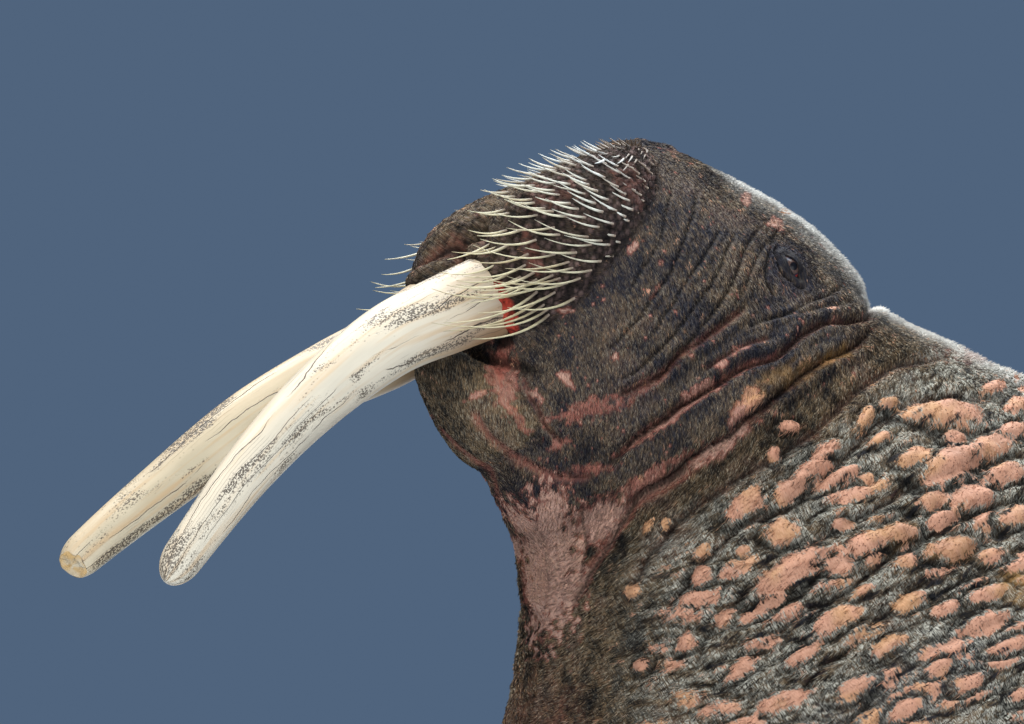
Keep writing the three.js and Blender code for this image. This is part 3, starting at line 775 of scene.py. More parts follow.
@dataclass
class Jaw:
    """The lower jaw, from the chin back into the throat."""

    square: float = 0.85

    def at(self, share: Array, turn: Array, grow: float = 0.0) -> Array:
        """Points of the jaw: share from chin (0) to throat (1), turn from the top round to the right."""
        share, turn = np.broadcast_arrays(np.asarray(share, float), np.asarray(turn, float))
        rows = np.array(JAW_SECTIONS, float)
        edges = catmull(rows[:, :3], share.ravel())
        broad = catmull(rows[:, [3, 3, 3]], share.ravel())[:, 0] + grow
        high = (edges[:, 2] - edges[:, 1]) / 2 + grow
        angle = turn.ravel()
        points = HEAD.point(
            edges[:, 0] + grow * (1 - 2 * share.ravel()),
            broad * signed_power(np.sin(angle), self.square),
            (edges[:, 1] + edges[:, 2]) / 2 - high * signed_power(np.cos(angle), self.square),
        )
        return points.reshape(*share.shape, 3)

    def surface(self, grow: float) -> Surface:
        """The closed surface of the jaw."""
        share, turn = net(0, 1, 40, 56)
        return loft(self.at(share, turn, grow))


@dataclass(frozen=True)
class FlipperForm:
    """The sizes of a flipper: a limb out of the body, and a paddle that lies on the floor."""

    kind: str
    limb: tuple[tuple[float, float, float], ...]
    limb_deep: tuple[float, ...]
    limb_thick: tuple[float, ...]
    wrist: tuple[float, float]
    heading: float
    length: float
    breadth: tuple[float, ...]
    digits: tuple[float, ...]
    thickness: tuple[float, ...]


FORE = FlipperForm(
    kind="fore",
    limb=((440, 290, 330), (345, 385, 235), (280, 470, 130), (250, 560, 44)),
    limb_deep=(150, 124, 100, 76),
    limb_thick=(86, 72, 56, 34),
    wrist=(262, 500),
    heading=112,
    length=420,
    breadth=(78, 112, 142, 134),
    digits=(1, 0.97, 0.9, 0.8, 0.68),
    thickness=(78, 44, 24, 13),
)
HIND = FlipperForm(
    kind="hind",
    limb=((2310, 110, 130), (2290, 200, 104), (2262, 280, 74), (2235, 350, 42)),
    limb_deep=(126, 108, 88, 72),
    limb_thick=(90, 72, 52, 34),
    wrist=(2245, 300),
    heading=76,
    length=440,
    breadth=(66, 104, 160, 200),
    digits=(1, 0.9, 0.84, 0.9, 1),
    thickness=(64, 34, 19, 11),
)


@dataclass
class Flipper:
    """One flipper with its five webbed digits."""

    form: FlipperForm
    side: Side
    rows: int = 64
    columns: int = 90
    web_notch: float = 0.1
    ridge: float = 0.42
    least: float = 10.0

    @property
    def reach(self) -> Array:
        """The direction from the wrist to the tips."""
        angle = math.radians(self.form.heading)
        return np.array([-math.cos(angle), self.side.value * math.sin(angle), 0])

    @property
    def spread(self) -> Array:
        """The direction from the last digit to the leading one."""
        angle = math.radians(self.form.heading)
        return np.array([-math.sin(angle), -self.side.value * math.cos(angle), 0])

    @property
    def wrist(self) -> Array:
        """The middle of the wrist on the floor."""
        return np.array([self.form.wrist[0], self.side.value * self.form.wrist[1], 0])

    def table(self, values: tuple[float, ...], share: Array) -> Array:
        """A size that changes evenly along the flipper."""
        return np.interp(share, np.linspace(0, 1, len(values)), values)

    def paddle(self) -> Surface:
        """The paddle: digits as soft ridges in a web, flat below."""
        count = len(self.form.digits)
        share = np.linspace(0, 1, self.rows)[:, None]
        across = np.linspace(1, -1, self.columns + 1)[None, :]
        digit_place = (1 - across) / 2 * count
        on_digit = 0.5 - 0.5 * np.cos(TURN * digit_place)
        reach_share = np.clip(share / 0.97, 0, 1)
        notch = 1 - self.web_notch * share * (1 - on_digit)
        edge = np.sqrt(np.clip(1 - across**2, 0, 1))
        long = self.form.length * share * notch * self.table(self.form.digits, (1 - across) / 2)
        end = np.sqrt(np.clip(1 - np.clip((share - 0.94) / 0.062, 0, 1) ** 2, 0, 1))
        fill = (1 - self.ridge * reach_share * (1 - on_digit)) * (0.28 + 0.72 * edge)
        high = np.maximum(self.least, self.table(self.form.thickness, share) * fill * (0.45 + 0.55 * end))
        half = self.table(self.form.breadth, share)
        flat = self.wrist + long[..., None] * self.reach + (half * across)[..., None] * self.spread
        top, bottom = flat.copy(), flat.copy()
        top[..., 2] = high
        bottom[..., 2] = 0.6
        rings = np.concatenate([top, bottom[:, ::-1]], axis=1)
        return loft(rings if self.side is Side.LEFT else rings[:, ::-1])

    def limb(self, grow: float) -> Surface:
        """The limb, a tapering oval along its line."""
        spine = np.array([(x, self.side.value * y, z) for x, y, z in self.form.limb], float)
        share = np.linspace(0, 1, 40)
        centre = catmull(spine, share)
        onward = unit(np.gradient(centre, axis=0))
        deep = unit(np.array([1.0, 0, 0]) - onward[:, :1] * onward)
        thin = np.cross(onward, deep)
        turn = np.arange(72) / 72 * TURN
        half_deep = self.table(self.form.limb_deep, share) + grow
        half_thin = self.table(self.form.limb_thick, share) + grow
        rings = (
            centre[:, None]
            + half_deep[:, None, None] * np.cos(turn)[None, :, None] * deep[:, None]
            + half_thin[:, None, None] * np.sin(turn)[None, :, None] * thin[:, None]
        )
        rings[..., 2] = np.maximum(rings[..., 2], 0.6)
        return loft(rings)

    def nails(self, back: float = 0.82, size: tuple[float, float, float] = (17, 8, 7)) -> Surface:
        """The five nails, small ovals that stand a little out of the digits."""
        around, along = np.meshgrid(np.arange(20) / 20 * TURN, np.linspace(0.03, np.pi - 0.03, 16))
        shape = np.stack([np.cos(along), np.sin(along) * np.sin(around), np.sin(along) * np.cos(around)], -1)
        grown = []
        for index, digit in enumerate(self.form.digits):
            across = 1 - (2 * index + 1) / len(self.form.digits)
            middle = (
                self.wrist
                + self.reach * self.form.length * back * digit
                + self.spread * self.table(self.form.breadth, back) * across
                + np.array([0, 0, self.table(self.form.thickness, back) * 0.94])
            )
            local = shape * np.array(size)
            rings = middle + local[..., :1] * self.reach + local[..., 1:2] * self.spread
            rings[..., 2] += local[..., 2] * 0.8 - 0.004 * (local[..., 0] + size[0]) ** 2
            grown.append(loft(rings))
        return joined(grown)


TRUNK = Trunk()
PADS = {side: LipPad(side) for side in Side}
JAW = Jaw()
FLIPPERS = [Flipper(form, side) for form in (FORE, HIND) for side in Side]
LIMBS = dict(zip((Part.FORE_LEFT, Part.FORE_RIGHT, Part.HIND_LEFT, Part.HIND_RIGHT), FLIPPERS))


@dataclass(frozen=True)
class EyeSocket:
    """The place of an eye: its ball, and the slit between the lids in the head's frame."""

    side: Side
    half_length: float = 14.5
    half_height: float = 5.0
    slant: float = 20.0
    mound: tuple[float, float, float] = (28.0, 25.0, 21.0)

    @property
    def centre(self) -> Array:
        """The middle of the ball."""
        return HEAD.point(EYE_PLACE[0], self.side.value * EYE_PLACE[1], EYE_PLACE[2])

    @property
    def axes(self) -> Array:
        """Along the slit to its front corner, up across it, and outward, as rows."""
        forward, across, down = HEAD.axes
        slant = math.radians(self.slant)
        lengthwise = math.cos(slant) * forward - math.sin(slant) * down
        upright = -math.sin(slant) * forward - math.cos(slant) * down
        return np.stack([lengthwise, upright, self.side.value * across])

    def surface(self) -> Surface:
        """The mound of the lids over the ball."""
        along, around = net(0.02, np.pi - 0.02, 30, 40)
        shape = np.stack([np.cos(along), np.sin(along) * np.cos(around), np.sin(along) * np.sin(around)], -1)
        rings = (shape * np.array(self.mound)) @ self.axes + self.centre
        return loft(rings if self.side is Side.LEFT else rings[:, ::-1])


SOCKETS = [EyeSocket(side) for side in Side]


# Markings and relief of the hide. Routes and places are columns and rows of the photograph, and the
# side that it doesn't show gets the same folds mirrored, with bosses of its own.


@dataclass(frozen=True)
class Crease:
    """A fold's groove: its route, how deep and wide it is, its swollen lip, how dark with painted shade, and
    how pink.
    """

    route: tuple[tuple[float, float], ...]
    depth: float
    width: float
    lip: float = 0.0
    dark: float = 0.8
    pink: float = 0.0


@dataclass(frozen=True)
class Boss:
    """A lump of bare hide: its middle, its half sizes in pixels and how its length rises to the right."""

    column: float
    row: float
    long: float
    short: float
    angle: float = 20.0


@dataclass(frozen=True)
class Blot:
    """A soft oval of one tone: its middle, half sizes, angle and strength, and how ragged its rim is."""

    tone: Tone
    column: float
    row: float
    long: float
    short: float
    angle: float = 0.0
    strength: float = 1.0
    ragged: float = 0.35


CREASES = (
    Crease(((920, 268), (896, 286), (877, 302), (870, 316), (851, 319), (824, 322), (805, 330), (789, 346),
            (773, 356), (746, 364), (727, 375), (695, 396), (668, 413), (640, 434), (616, 454), (596, 474)),
           9, 4.2, 2.5, 1.0, 0.45),
    Crease(((876, 310), (872, 326), (866, 336), (854, 345), (835, 354), (816, 363),
            (800, 376), (784, 389), (768, 403), (751, 416), (735, 432), (713, 446), (692, 459), (668, 478),
            (640, 495), (622, 516)), 9, 4.5, 2.5, 1.0, 0.4),
    Crease(((700, 464), (668, 483), (639, 500), (622, 520), (610, 537), (594, 560), (580, 580), (570, 606)),
           6, 4, 2, 0.8, 0.9),
    Crease(((583, 500), (581, 525), (580, 555), (573, 585), (566, 612)), 3, 3, 1, 0.5, 0.9),
    Crease(
        ((612, 396), (627, 391), (654, 376), (681, 354), (705, 336), (730, 318), (752, 300)),
        5, 4, 2.5, 0.9, 0.55,
    ),
    Crease(
        ((698, 178), (696, 200), (688, 231), (672, 268), (652, 299), (625, 334), (600, 356)),
        2.6, 2.4, 0.8, 0.7,
    ),
    Crease(((722, 222), (708, 250), (688, 280), (664, 316), (644, 346)), 2.4, 2.2, 0.8, 0.6),
    Crease(((738, 226), (722, 262), (700, 300), (672, 335), (640, 368), (612, 384)), 2.6, 2.2, 0.9, 0.6),
    Crease(
        ((763, 220), (745, 252), (724, 297), (697, 331), (679, 352), (652, 382), (634, 392)),
        3.2, 2.6, 1.2, 0.8,
    ),
    Crease(((783, 222), (774, 236), (768, 252), (766, 270), (770, 288), (778, 298)), 3.6, 2.2, 1.4, 1.0),
    Crease(((776, 228), (758, 256), (746, 284), (730, 312)), 2.2, 2.0, 0.8, 0.5),
    Crease(((672, 176), (670, 200), (660, 236), (644, 268), (622, 300)), 1.8, 2.2, 0.6, 0.5),
    Crease(((763, 323), (790, 311), (820, 298), (846, 286)), 2.2, 2.0, 0.8, 0.6),
    Crease(((742, 330), (770, 318), (800, 312), (836, 304), (862, 300)), 1.6, 2.2, 0.8, 0.35),
    Crease(((700, 372), (724, 356), (748, 344), (772, 336)), 2.0, 2.4, 1.0, 0.4, 0.4),
    Crease(((972, 362), (950, 356), (925, 356), (900, 362), (868, 380), (842, 402), (812, 430), (780, 452),
            (748, 470), (712, 492), (676, 520), (648, 552), (626, 590), (612, 630)), 5, 5, 2, 0.8, 0.35),
    Crease(((1024, 392), (1000, 398), (960, 392), (918, 398), (880, 418), (850, 448), (812, 484), (772, 508),
            (736, 528), (700, 560), (670, 600), (650, 640)), 5, 5, 2, 0.9, 0.3),
    Crease(((1024, 448), (990, 462), (950, 470), (905, 486), (860, 512), (815, 536), (770, 566), (730, 600),
            (700, 640), (680, 690)), 5, 5, 2, 0.9, 0.25),
    Crease(((1024, 492), (975, 508), (930, 528), (885, 556), (840, 588), (800, 610), (760, 640), (735, 680)),
           5, 5, 2, 0.9, 0.25),
    Crease(((1024, 528), (985, 536), (950, 562), (915, 580), (880, 612), (850, 640), (815, 668), (790, 700)),
           5, 5, 2, 0.9, 0.2),
    Crease(((1024, 612), (985, 622), (940, 640), (905, 664), (870, 690), (840, 724)), 5, 5, 2, 0.9, 0.2),
    Crease(((470, 404), (486, 432), (508, 452), (540, 470), (570, 478), (600, 474)), 2.2, 4, 1, 0.35, 0.6),
    Crease(((520, 372), (532, 400), (548, 428), (566, 448)), 2.0, 3, 0.8, 0.4, 0.5),
    Crease(((497, 182), (489, 196), (485, 214), (484, 236), (484, 262)), 7, 4.5, 3, 1.0, 0.5),
)
# Spots of the photograph, each with its middle and half sizes in pixels.
Spot = tuple[tuple[float, float], tuple[float, float]]
NAPE_NOTCH: Spot = ((880, 296), (14, 13))
THROAT: Spot = ((566, 566), (52, 88))
ROUGH_CROWN: Spot = ((636, 172), (34, 30))
LIP_DIP: Spot = ((503, 341), (13, 9))
# How far down a slope of the picture the packed bosses begin and are all there.
PACKED_SLOPE = (0.55, 1.0)
PACKED_ROWS = (905, 960)
BOSSES = tuple(
    Boss(*row)
    for row in (
        (780, 528, 20, 14, 10), (787, 568, 46, 17, 33), (835, 561, 17, 11, 5), (900, 531, 20, 14, 10),
        (866, 538, 36, 12, 20), (949, 462, 36, 18, 20), (945, 411, 46, 14, -5), (954, 434, 14, 8, 0),
        (911, 454, 20, 9, 15), (989, 443, 30, 12, 10), (1006, 470, 26, 12, 10), (1014, 513, 20, 12, 15),
        (970, 494, 26, 12, 10), (930, 497, 20, 9, 15), (941, 516, 18, 9, 20), (743, 502, 28, 11, 42),
        (787, 489, 22, 12, 35), (811, 466, 26, 10, 30), (827, 447, 15, 8, 20), (787, 427, 12, 7, 10),
        (773, 453, 9, 8, 60), (836, 476, 26, 9, 25), (866, 476, 10, 7, 10), (841, 520, 13, 6, 5),
        (872, 556, 14, 7, 25), (949, 546, 28, 12, 10), (989, 553, 18, 9, 5), (700, 572, 14, 10, 40),
        (700, 549, 12, 6, 45), (630, 589, 10, 8, 20), (665, 524, 7, 6, 30), (647, 524, 8, 4, 60),
        (906, 597, 22, 10, 20), (741, 549, 8, 6, 20), (762, 604, 28, 8, 30), (833, 616, 32, 12, 30),
        (884, 641, 22, 9, 30), (965, 678, 20, 10, 25), (935, 664, 14, 8, 20), (1006, 641, 26, 8, 20),
        (865, 416, 16, 8, 60), (889, 400, 12, 6, 20), (880, 437, 16, 6, 30), (995, 384, 14, 6, 15),
        (1012, 427, 20, 8, 15), (720, 616, 16, 8, 40), (684, 640, 14, 8, 45), (740, 664, 20, 9, 40),
        (800, 650, 22, 8, 35), (850, 684, 24, 10, 30), (900, 704, 20, 9, 30), (640, 662, 12, 8, 40),
        (985, 590, 24, 9, 15), (944, 604, 16, 8, 20), (860, 588, 14, 6, 25), (1016, 690, 16, 9, 20),
    )
)
BLOTS = (
    Blot(Tone.GUM, 502, 304, 26, 12, -65, 1.0, 0.7),
    Blot(Tone.GUM, 511, 328, 10, 9, 0, 0.9, 0.7),
    Blot(Tone.BLUSH, 502, 374, 40, 17, -80, 0.75, 0.7),
    Blot(Tone.GUM, 500, 366, 22, 9, -80, 0.4, 0.8),
    # Painted shade in the dip of the lip.
    Blot(Tone.HOLLOW, 503, 341, 13, 9, 20, 1.0, 0.2),
    Blot(Tone.BLUSH, 533, 255, 26, 12, -75, 0.45, 0.9),
    Blot(Tone.BLUSH, 548, 196, 34, 18, 20, 0.32, 1.0),
    Blot(Tone.BLUSH, 470, 243, 15, 5, 55, 0.8, 0.8),
    Blot(Tone.BLUSH, 630, 186, 26, 22, -60, 0.3, 1.0),
    Blot(Tone.BLUSH, 633, 247, 9, 5, 60, 1.0, 0.5),
    Blot(Tone.BLUSH, 745, 198, 8, 6.5, 90, 1.0, 0.3),
    Blot(Tone.BLUSH, 566, 311, 10, 4, 10, 0.9, 0.6),
    Blot(Tone.BLUSH, 775, 222, 10, 7, -20, 0.9, 0.8),
    Blot(Tone.BARE, 784, 208, 7, 5, 40, 0.5, 0.8),
    Blot(Tone.BLUSH, 655, 290, 14, 2, 58, 0.8, 0.3),
    Blot(Tone.BLUSH, 660, 262, 5, 3, 60, 0.7, 0.4),
    Blot(Tone.BARE, 831, 308, 8, 3, 10, 0.7, 0.5),
    Blot(Tone.BLUSH, 742, 348, 9, 4, 20, 0.8, 0.8),
    Blot(Tone.BLUSH, 720, 364, 9, 5, 20, 0.8, 0.8),
    Blot(Tone.BLUSH, 566, 378, 12, 7, -45, 1.0, 0.9),
    Blot(Tone.BLUSH, 616, 356, 6, 4, 0, 1.0, 0.7),
    Blot(Tone.BLUSH, 478, 394, 14, 5, 20, 0.8, 0.9),
    Blot(Tone.BLUSH, 520, 420, 18, 6, -60, 0.6, 0.9),
    Blot(Tone.BLUSH, 590, 408, 44, 11, 12, 0.66, 0.9),
    Blot(Tone.BLUSH, 650, 384, 30, 6, 32, 0.5, 0.8),
    Blot(Tone.BLUSH, 668, 418, 74, 6, 34, 0.8, 0.8),
    Blot(Tone.BLUSH, 750, 364, 44, 5, 22, 0.7, 0.5),
    Blot(Tone.BLUSH, 592, 468, 26, 7, 0, 0.6, 0.8),
    Blot(Tone.BLUSH, 548, 560, 36, 86, 0, 1.2, 0.7),
    Blot(Tone.BLUSH, 600, 520, 36, 22, 40, 1.0, 0.5),
    Blot(Tone.BLUSH, 650, 476, 54, 10, 32, 0.7, 0.8),
    Blot(Tone.BLUSH, 722, 444, 44, 9, 36, 0.95, 0.7),
    Blot(Tone.STAIN, 838, 352, 22, 9, 25, 0.9, 0.5),
    Blot(Tone.BARE, 834, 357, 12, 2.5, 22, 0.9, 0.3),
    Blot(Tone.STAIN, 800, 372, 30, 9, 35, 0.45, 0.6),
    Blot(Tone.BARE, 752, 402, 16, 8, 50, 0.7, 0.8),
    Blot(Tone.BLUSH, 1000, 352, 60, 10, 0, 0.45, 0.9),
    Blot(Tone.STAIN, 1012, 585, 26, 18, 0, 0.8, 0.6),
    Blot(Tone.STAIN, 949, 546, 30, 14, 10, 0.5, 0.4),
    Blot(Tone.STAIN, 900, 531, 22, 15, 10, 0.45, 0.4),
    # Dark bluish lids and painted shade of the brow round the eye.
    Blot(Tone.SLATE, 786, 272, 34, 24, -60, 1.0, 0.3),
    Blot(Tone.SLATE, 776, 316, 40, 20, 20, 0.6, 0.6),
    Blot(Tone.SLATE, 650, 250, 90, 60, 60, 0.55, 0.5),
    Blot(Tone.SLATE, 590, 350, 90, 70, 0, 0.5, 0.6),
    Blot(Tone.SLATE, 700, 290, 60, 50, 0, 0.4, 0.6),
    Blot(Tone.STAIN, 764, 384, 40, 9, 38, 0.5, 0.7),
    Blot(Tone.BLUSH, 744, 404, 28, 9, 50, 0.8, 0.8),
    Blot(Tone.BLUSH, 536, 396, 12, 5, -50, 0.9, 0.9),
    Blot(Tone.BLUSH, 700, 386, 26, 5, 30, 0.8, 0.9),
    Blot(Tone.BLUSH, 560, 442, 16, 6, 30, 0.7, 0.9),
    Blot(Tone.SLATE, 900, 690, 110, 40, 25, 0.5, 0.8),
    Blot(Tone.BLUSH, 676, 148, 16, 6, 0, 0.3, 0.5),
)


def along_route(pixels: Array, route: Array, reach: float) -> tuple[Array, Array, Array]:
    """Finds the points near a route.

    Args:
        pixels: columns and rows of points.
        route: the route's own points.
        reach: how far off it points are wanted.

    Returns:
        The indices of the points, their distances to the route and the shares of its length.
    """
    smooth = catmull(route, np.linspace(0, 1, 4 * len(route)))
    low, high = smooth.min(0) - reach, smooth.max(0) + reach
    near = np.flatnonzero(((pixels > low) & (pixels < high)).all(1))
    spots = pixels[near]
    distance = np.full(len(near), np.inf)
    share = np.zeros(len(near))
    lengths = np.linalg.norm(np.diff(smooth, axis=0), axis=1)
    starts = np.concatenate([[0], np.cumsum(lengths)])
    for index, length in enumerate(lengths):
        start, end = smooth[index], smooth[index + 1]
        part = np.clip(((spots - start) @ (end - start)) / length**2, 0, 1)
        away = np.linalg.norm(spots - start - part[:, None] * (end - start), axis=1)
        closer = away < distance
        distance[closer] = away[closer]
        share[closer] = ((starts[index] + part * length) / starts[-1])[closer]
    close = distance < reach
    return near[close], distance[close], share[close]


def fused(surface: Surface, voxel: float) -> Surface:
    """Melts overlapping closed shells into one skin of even quads.

    Args:
        surface: the shells.
        voxel: the size of the quads.

    Returns:
        The skin.
    """
    block = bpy.data.objects.new("block", make_mesh("block", surface, in_place=False))
    bpy.context.scene.collection.objects.link(block)
    remesh = block.modifiers.new("melt", "REMESH")
    remesh.mode = "VOXEL"
    remesh.voxel_size = voxel
    shown = block.evaluated_get(bpy.context.evaluated_depsgraph_get())
    result = shown.to_mesh()
    points = np.empty(3 * len(result.vertices), np.float32)
    corners = np.empty(len(result.loops), np.int32)
    result.vertices.foreach_get("co", points)
    result.loops.foreach_get("vertex_index", corners)
    shown.to_mesh_clear()
    mesh = block.data
    bpy.data.objects.remove(block)
    bpy.data.meshes.remove(mesh)
    return points.reshape(-1, 3).astype(float), [corners.reshape(-1, 4).astype(np.int64)]


def polished(
    at, first: Array, second: Array, points: Array, limits: tuple[float, float]
) -> tuple[Array, Array]:
    """Moves the coordinates on a surface until they lie under the points.

    Args:
        at: gives the surface's points for two coordinates.
        first: the first coordinate's guess.
        second: the second coordinate's guess.
        points: the points to lie under.
        limits: the most that each coordinate moves in one round.

    Returns:
        Both coordinates.
    """
    tiny = 1e-3
    for _ in range(2):
        here = at(first, second)
        one = (at(first + tiny, second) - here) / tiny
        two = (at(first, second + tiny) - here) / tiny
        gap = points - here
        a, b, c = (one * one).sum(1), (one * two).sum(1), (two * two).sum(1)
        e, f = (one * gap).sum(1), (two * gap).sum(1)
        share = a * c - b * b + 1e-6
        first = first + np.clip((c * e - b * f) / share, -limits[0], limits[0])
        second = second + np.clip((a * f - b * e) / share, -limits[1], limits[1])
    return first, second


@dataclass(frozen=True)
class TuskForm:
    """A tusk's line from the gum to its tip in the head's frame, and where its tip is broken off."""

    side: Side
    line: tuple[tuple[float, float, float], ...]
    depth: float = 46.0
    breadth: float = 31.0
    root: float = 34.0
    broken: bool = False
    sleeve: tuple[tuple[float, float], ...] = ((-80, 4), (-50, 12), (-24, 14), (-8, 12), (2, 5), (8, -8))

    @property
    def spine(self) -> Array:
        """The points of its line, from its root in the head."""
        sign = self.side.value
        start = [(-0.42 * self.root, sign * 64, -0.9 * self.root), (0, sign * 65, 0)]
        return HEAD.point(*np.array([*start, *self.line], float).T)

    def collar(self) -> Surface:
        """The flesh of the lip round the tusk's root, in front of the gum."""
        start, gum = self.spine[0], self.spine[1]
        onward = unit(gum - start)
        wide = unit(HEAD.axes[1] - (onward @ HEAD.axes[1]) * onward)
        thick = np.cross(onward, wide)
        turn = np.arange(48) / 48 * TURN
        rings = [
            gum
            + onward * step
            + np.outer(np.cos(turn), wide) * (self.breadth + grow)
            + np.outer(np.sin(turn), thick) * (self.depth + grow)
            for step, grow in self.sleeve
        ]
        return loft(np.array(rings))


TUSKS = (
    TuskForm(
        Side.LEFT,
        ((22, -67, 50), (53, -72, 124), (78, -80, 244), (88, -89, 374), (85, -95, 493), (82, -96, 543)),
    ),
    TuskForm(
        Side.RIGHT,
        ((12, 67, 50), (44, 74, 132), (79, 86, 240), (104, 98, 372), (120, 108, 478), (123, 110, 512)),
        broken=True,
    ),
)


@dataclass
class Hide:
    """The walrus's skin in one piece, with its relief, its markings and the lie of its coat."""

    voxel: float = 7.6
    coat_depth: float = 4.0
    points: Array = field(init=False)
    faces: list[Array] = field(init=False)
    part: Array = field(init=False)
    place: Array = field(init=False)
    turn: Array = field(init=False)
    comb: Array = field(init=False)
    lie: Array = field(init=False)
    tones: dict[Tone, Array] = field(init=False)

    def __post_init__(self) -> None:
        """Models the skin."""
        self._block_out()
        self._locate()
        self.tones = {tone: np.zeros(len(self.points)) for tone in Tone}
        self.normals = unit(face_sums((self.points, self.faces)))
        self._lay_coat()
        self._model()

    def _block_out(self) -> None:
        """Melts the main forms together, a coat's depth inside the solids, and refines what shows."""
        shells = [TRUNK.surface(-self.coat_depth), JAW.surface(-2)]
        shells += [pad.surface(-2.5) for pad in PADS.values()]
        shells += [socket.surface() for socket in SOCKETS]
        shells += [tusk.collar() for tusk in TUSKS]
        for flipper in FLIPPERS:
            shells += [flipper.limb(-3), flipper.paddle()]
        surface = fused(joined(shells), self.voxel)
        weight = np.where(surface[0][:, 2] < 70, 0.25, 0.55)
        points = relaxed(surface, 5, weight)
        surface = (points, surface[1])
        centre = surface[0][surface[1][0]].mean(1)
        surface = refined(surface, self._shows_closest(centre, 0))
        surface = (relaxed(surface, 3, 0.5 * self._shows_closest(surface[0], 6)), surface[1])
        for radius, rounds in ((62.0, 2), (30.0, 2)):
            quads = next(group for group in surface[1] if group.shape[1] == 4)
            centre = surface[0][quads].mean(1)
            near = np.min([np.linalg.norm(centre - socket.centre, axis=1) for socket in SOCKETS], axis=0)
            surface = refined(surface, near < radius)
            near = np.min([np.linalg.norm(surface[0] - socket.centre, axis=1) for socket in SOCKETS], axis=0)
            surface = (relaxed(surface, rounds, 0.5 * (near < radius + 8)), surface[1])
        self.points, self.faces = surface

    @staticmethod
    def _shows_closest(points: Array, margin: float) -> Array:
        """Whether points lie on the head, or on the side of neck and chest that the photograph shows."""
        x, y, z = points.T
        head = (x < 400 + margin) & (z > 820 - margin)
        shown = (x < 600 + margin) & (y < 90 + margin) & (z > 640 - margin)
        return head | shown

    def _locate(self) -> None:
        """Finds what each point of the skin lies on, and where."""
        place, turn = net(0, TRUNK.last, 900, 200)
        clouds = [(Part.TRUNK, TRUNK.at(place, turn).reshape(-1, 3), place.ravel(), turn.ravel())]
        share, round_pad = net(0, 1, 50, 60)
        for part, side in ((Part.PAD_LEFT, Side.LEFT), (Part.PAD_RIGHT, Side.RIGHT)):
            clouds.append(
                (part, PADS[side].at(share, round_pad).reshape(-1, 3), share.ravel(), round_pad.ravel())
            )
        clouds.append((Part.JAW, JAW.at(share, round_pad).reshape(-1, 3), share.ravel(), round_pad.ravel()))
        for part, flipper in LIMBS.items():
            spots = np.vstack([flipper.limb(0)[0], flipper.paddle()[0]])
            clouds.append((part, spots, np.zeros(len(spots)), np.zeros(len(spots))))
        parts = np.concatenate([np.full(len(cloud), part.value) for part, cloud, _, _ in clouds])
        first = np.concatenate([values for _, _, values, _ in clouds])
        second = np.concatenate([values for _, _, _, values in clouds])
        spots = np.vstack([cloud for _, cloud, _, _ in clouds])
        tree = KDTree(len(spots))
        for index, spot in enumerate(spots.tolist()):
            tree.insert(spot, index)
        tree.balance()
        find = tree.find
        nearest = np.array([find(point)[1] for point in self.points.tolist()])
        self.part = parts[nearest]
        self.place, self.turn = first[nearest], second[nearest]
        for part, at in (
            (Part.TRUNK, TRUNK.at),
            (Part.PAD_LEFT, PADS[Side.LEFT].at),
            (Part.PAD_RIGHT, PADS[Side.RIGHT].at),
            (Part.JAW, JAW.at),
        ):
            own = self.part == part.value
            limits = (0.04, 0.04) if part is Part.TRUNK else (0.02, 0.1)
            self.place[own], self.turn[own] = polished(
                at, self.place[own], self.turn[own], self.points[own], limits
            )
        self.place = np.clip(self.place, 0, TRUNK.last)
        self.turn = np.mod(self.turn, TURN)

    def is_part(self, *parts: Part) -> Array:
        """Which points lie on one of some parts."""
        return np.isin(self.part, [part.value for part in parts])

    @cached_property
    def on_trunk(self) -> Array:
        """Which points lie on head, neck or body."""
        return self.is_part(Part.TRUNK)

    @cached_property
    def on_pad(self) -> Array:
        """Which points lie on a pad of the upper lip."""
        return self.is_part(Part.PAD_LEFT, Part.PAD_RIGHT)

    @cached_property
    def on_flipper(self) -> Array:
        """Which points lie on a flipper."""
        return self.is_part(*LIMBS)

    @cached_property
    def folded(self) -> Array:
        """Radians from the back to the belly, on either side."""
        return np.where(self.turn > np.pi, TURN - self.turn, self.turn)

    @cached_property
    def leftness(self) -> Array:
        """True on the side that the photograph shows."""
        left_of_head = HEAD.local(self.points)[:, 1] < 0
        return np.where(self.on_trunk, self.turn <= np.pi, left_of_head)

    @cached_property
    def pixels(self) -> Array:
        """Where each point shows in the photograph, or where its twin on the left side does."""
        local = HEAD.local(self.points)
        local[:, 1] = -np.abs(local[:, 1])
        near = HEAD.point(*local.T)
        share = smooth_step(8, 9, self.place) * self.on_trunk
        body = TRUNK.at(self.place, self.folded)
        return VIEW.pixels(near * (1 - share[:, None]) + body * share[:, None])

    @cached_property
    def front(self) -> Array:
        """One on head, neck and shoulders, falling to nothing over the chest."""
        share = 1 - smooth_step(13, 14.5, self.place)
        return np.where(self.on_trunk, share, 1.0) * ~self.on_flipper

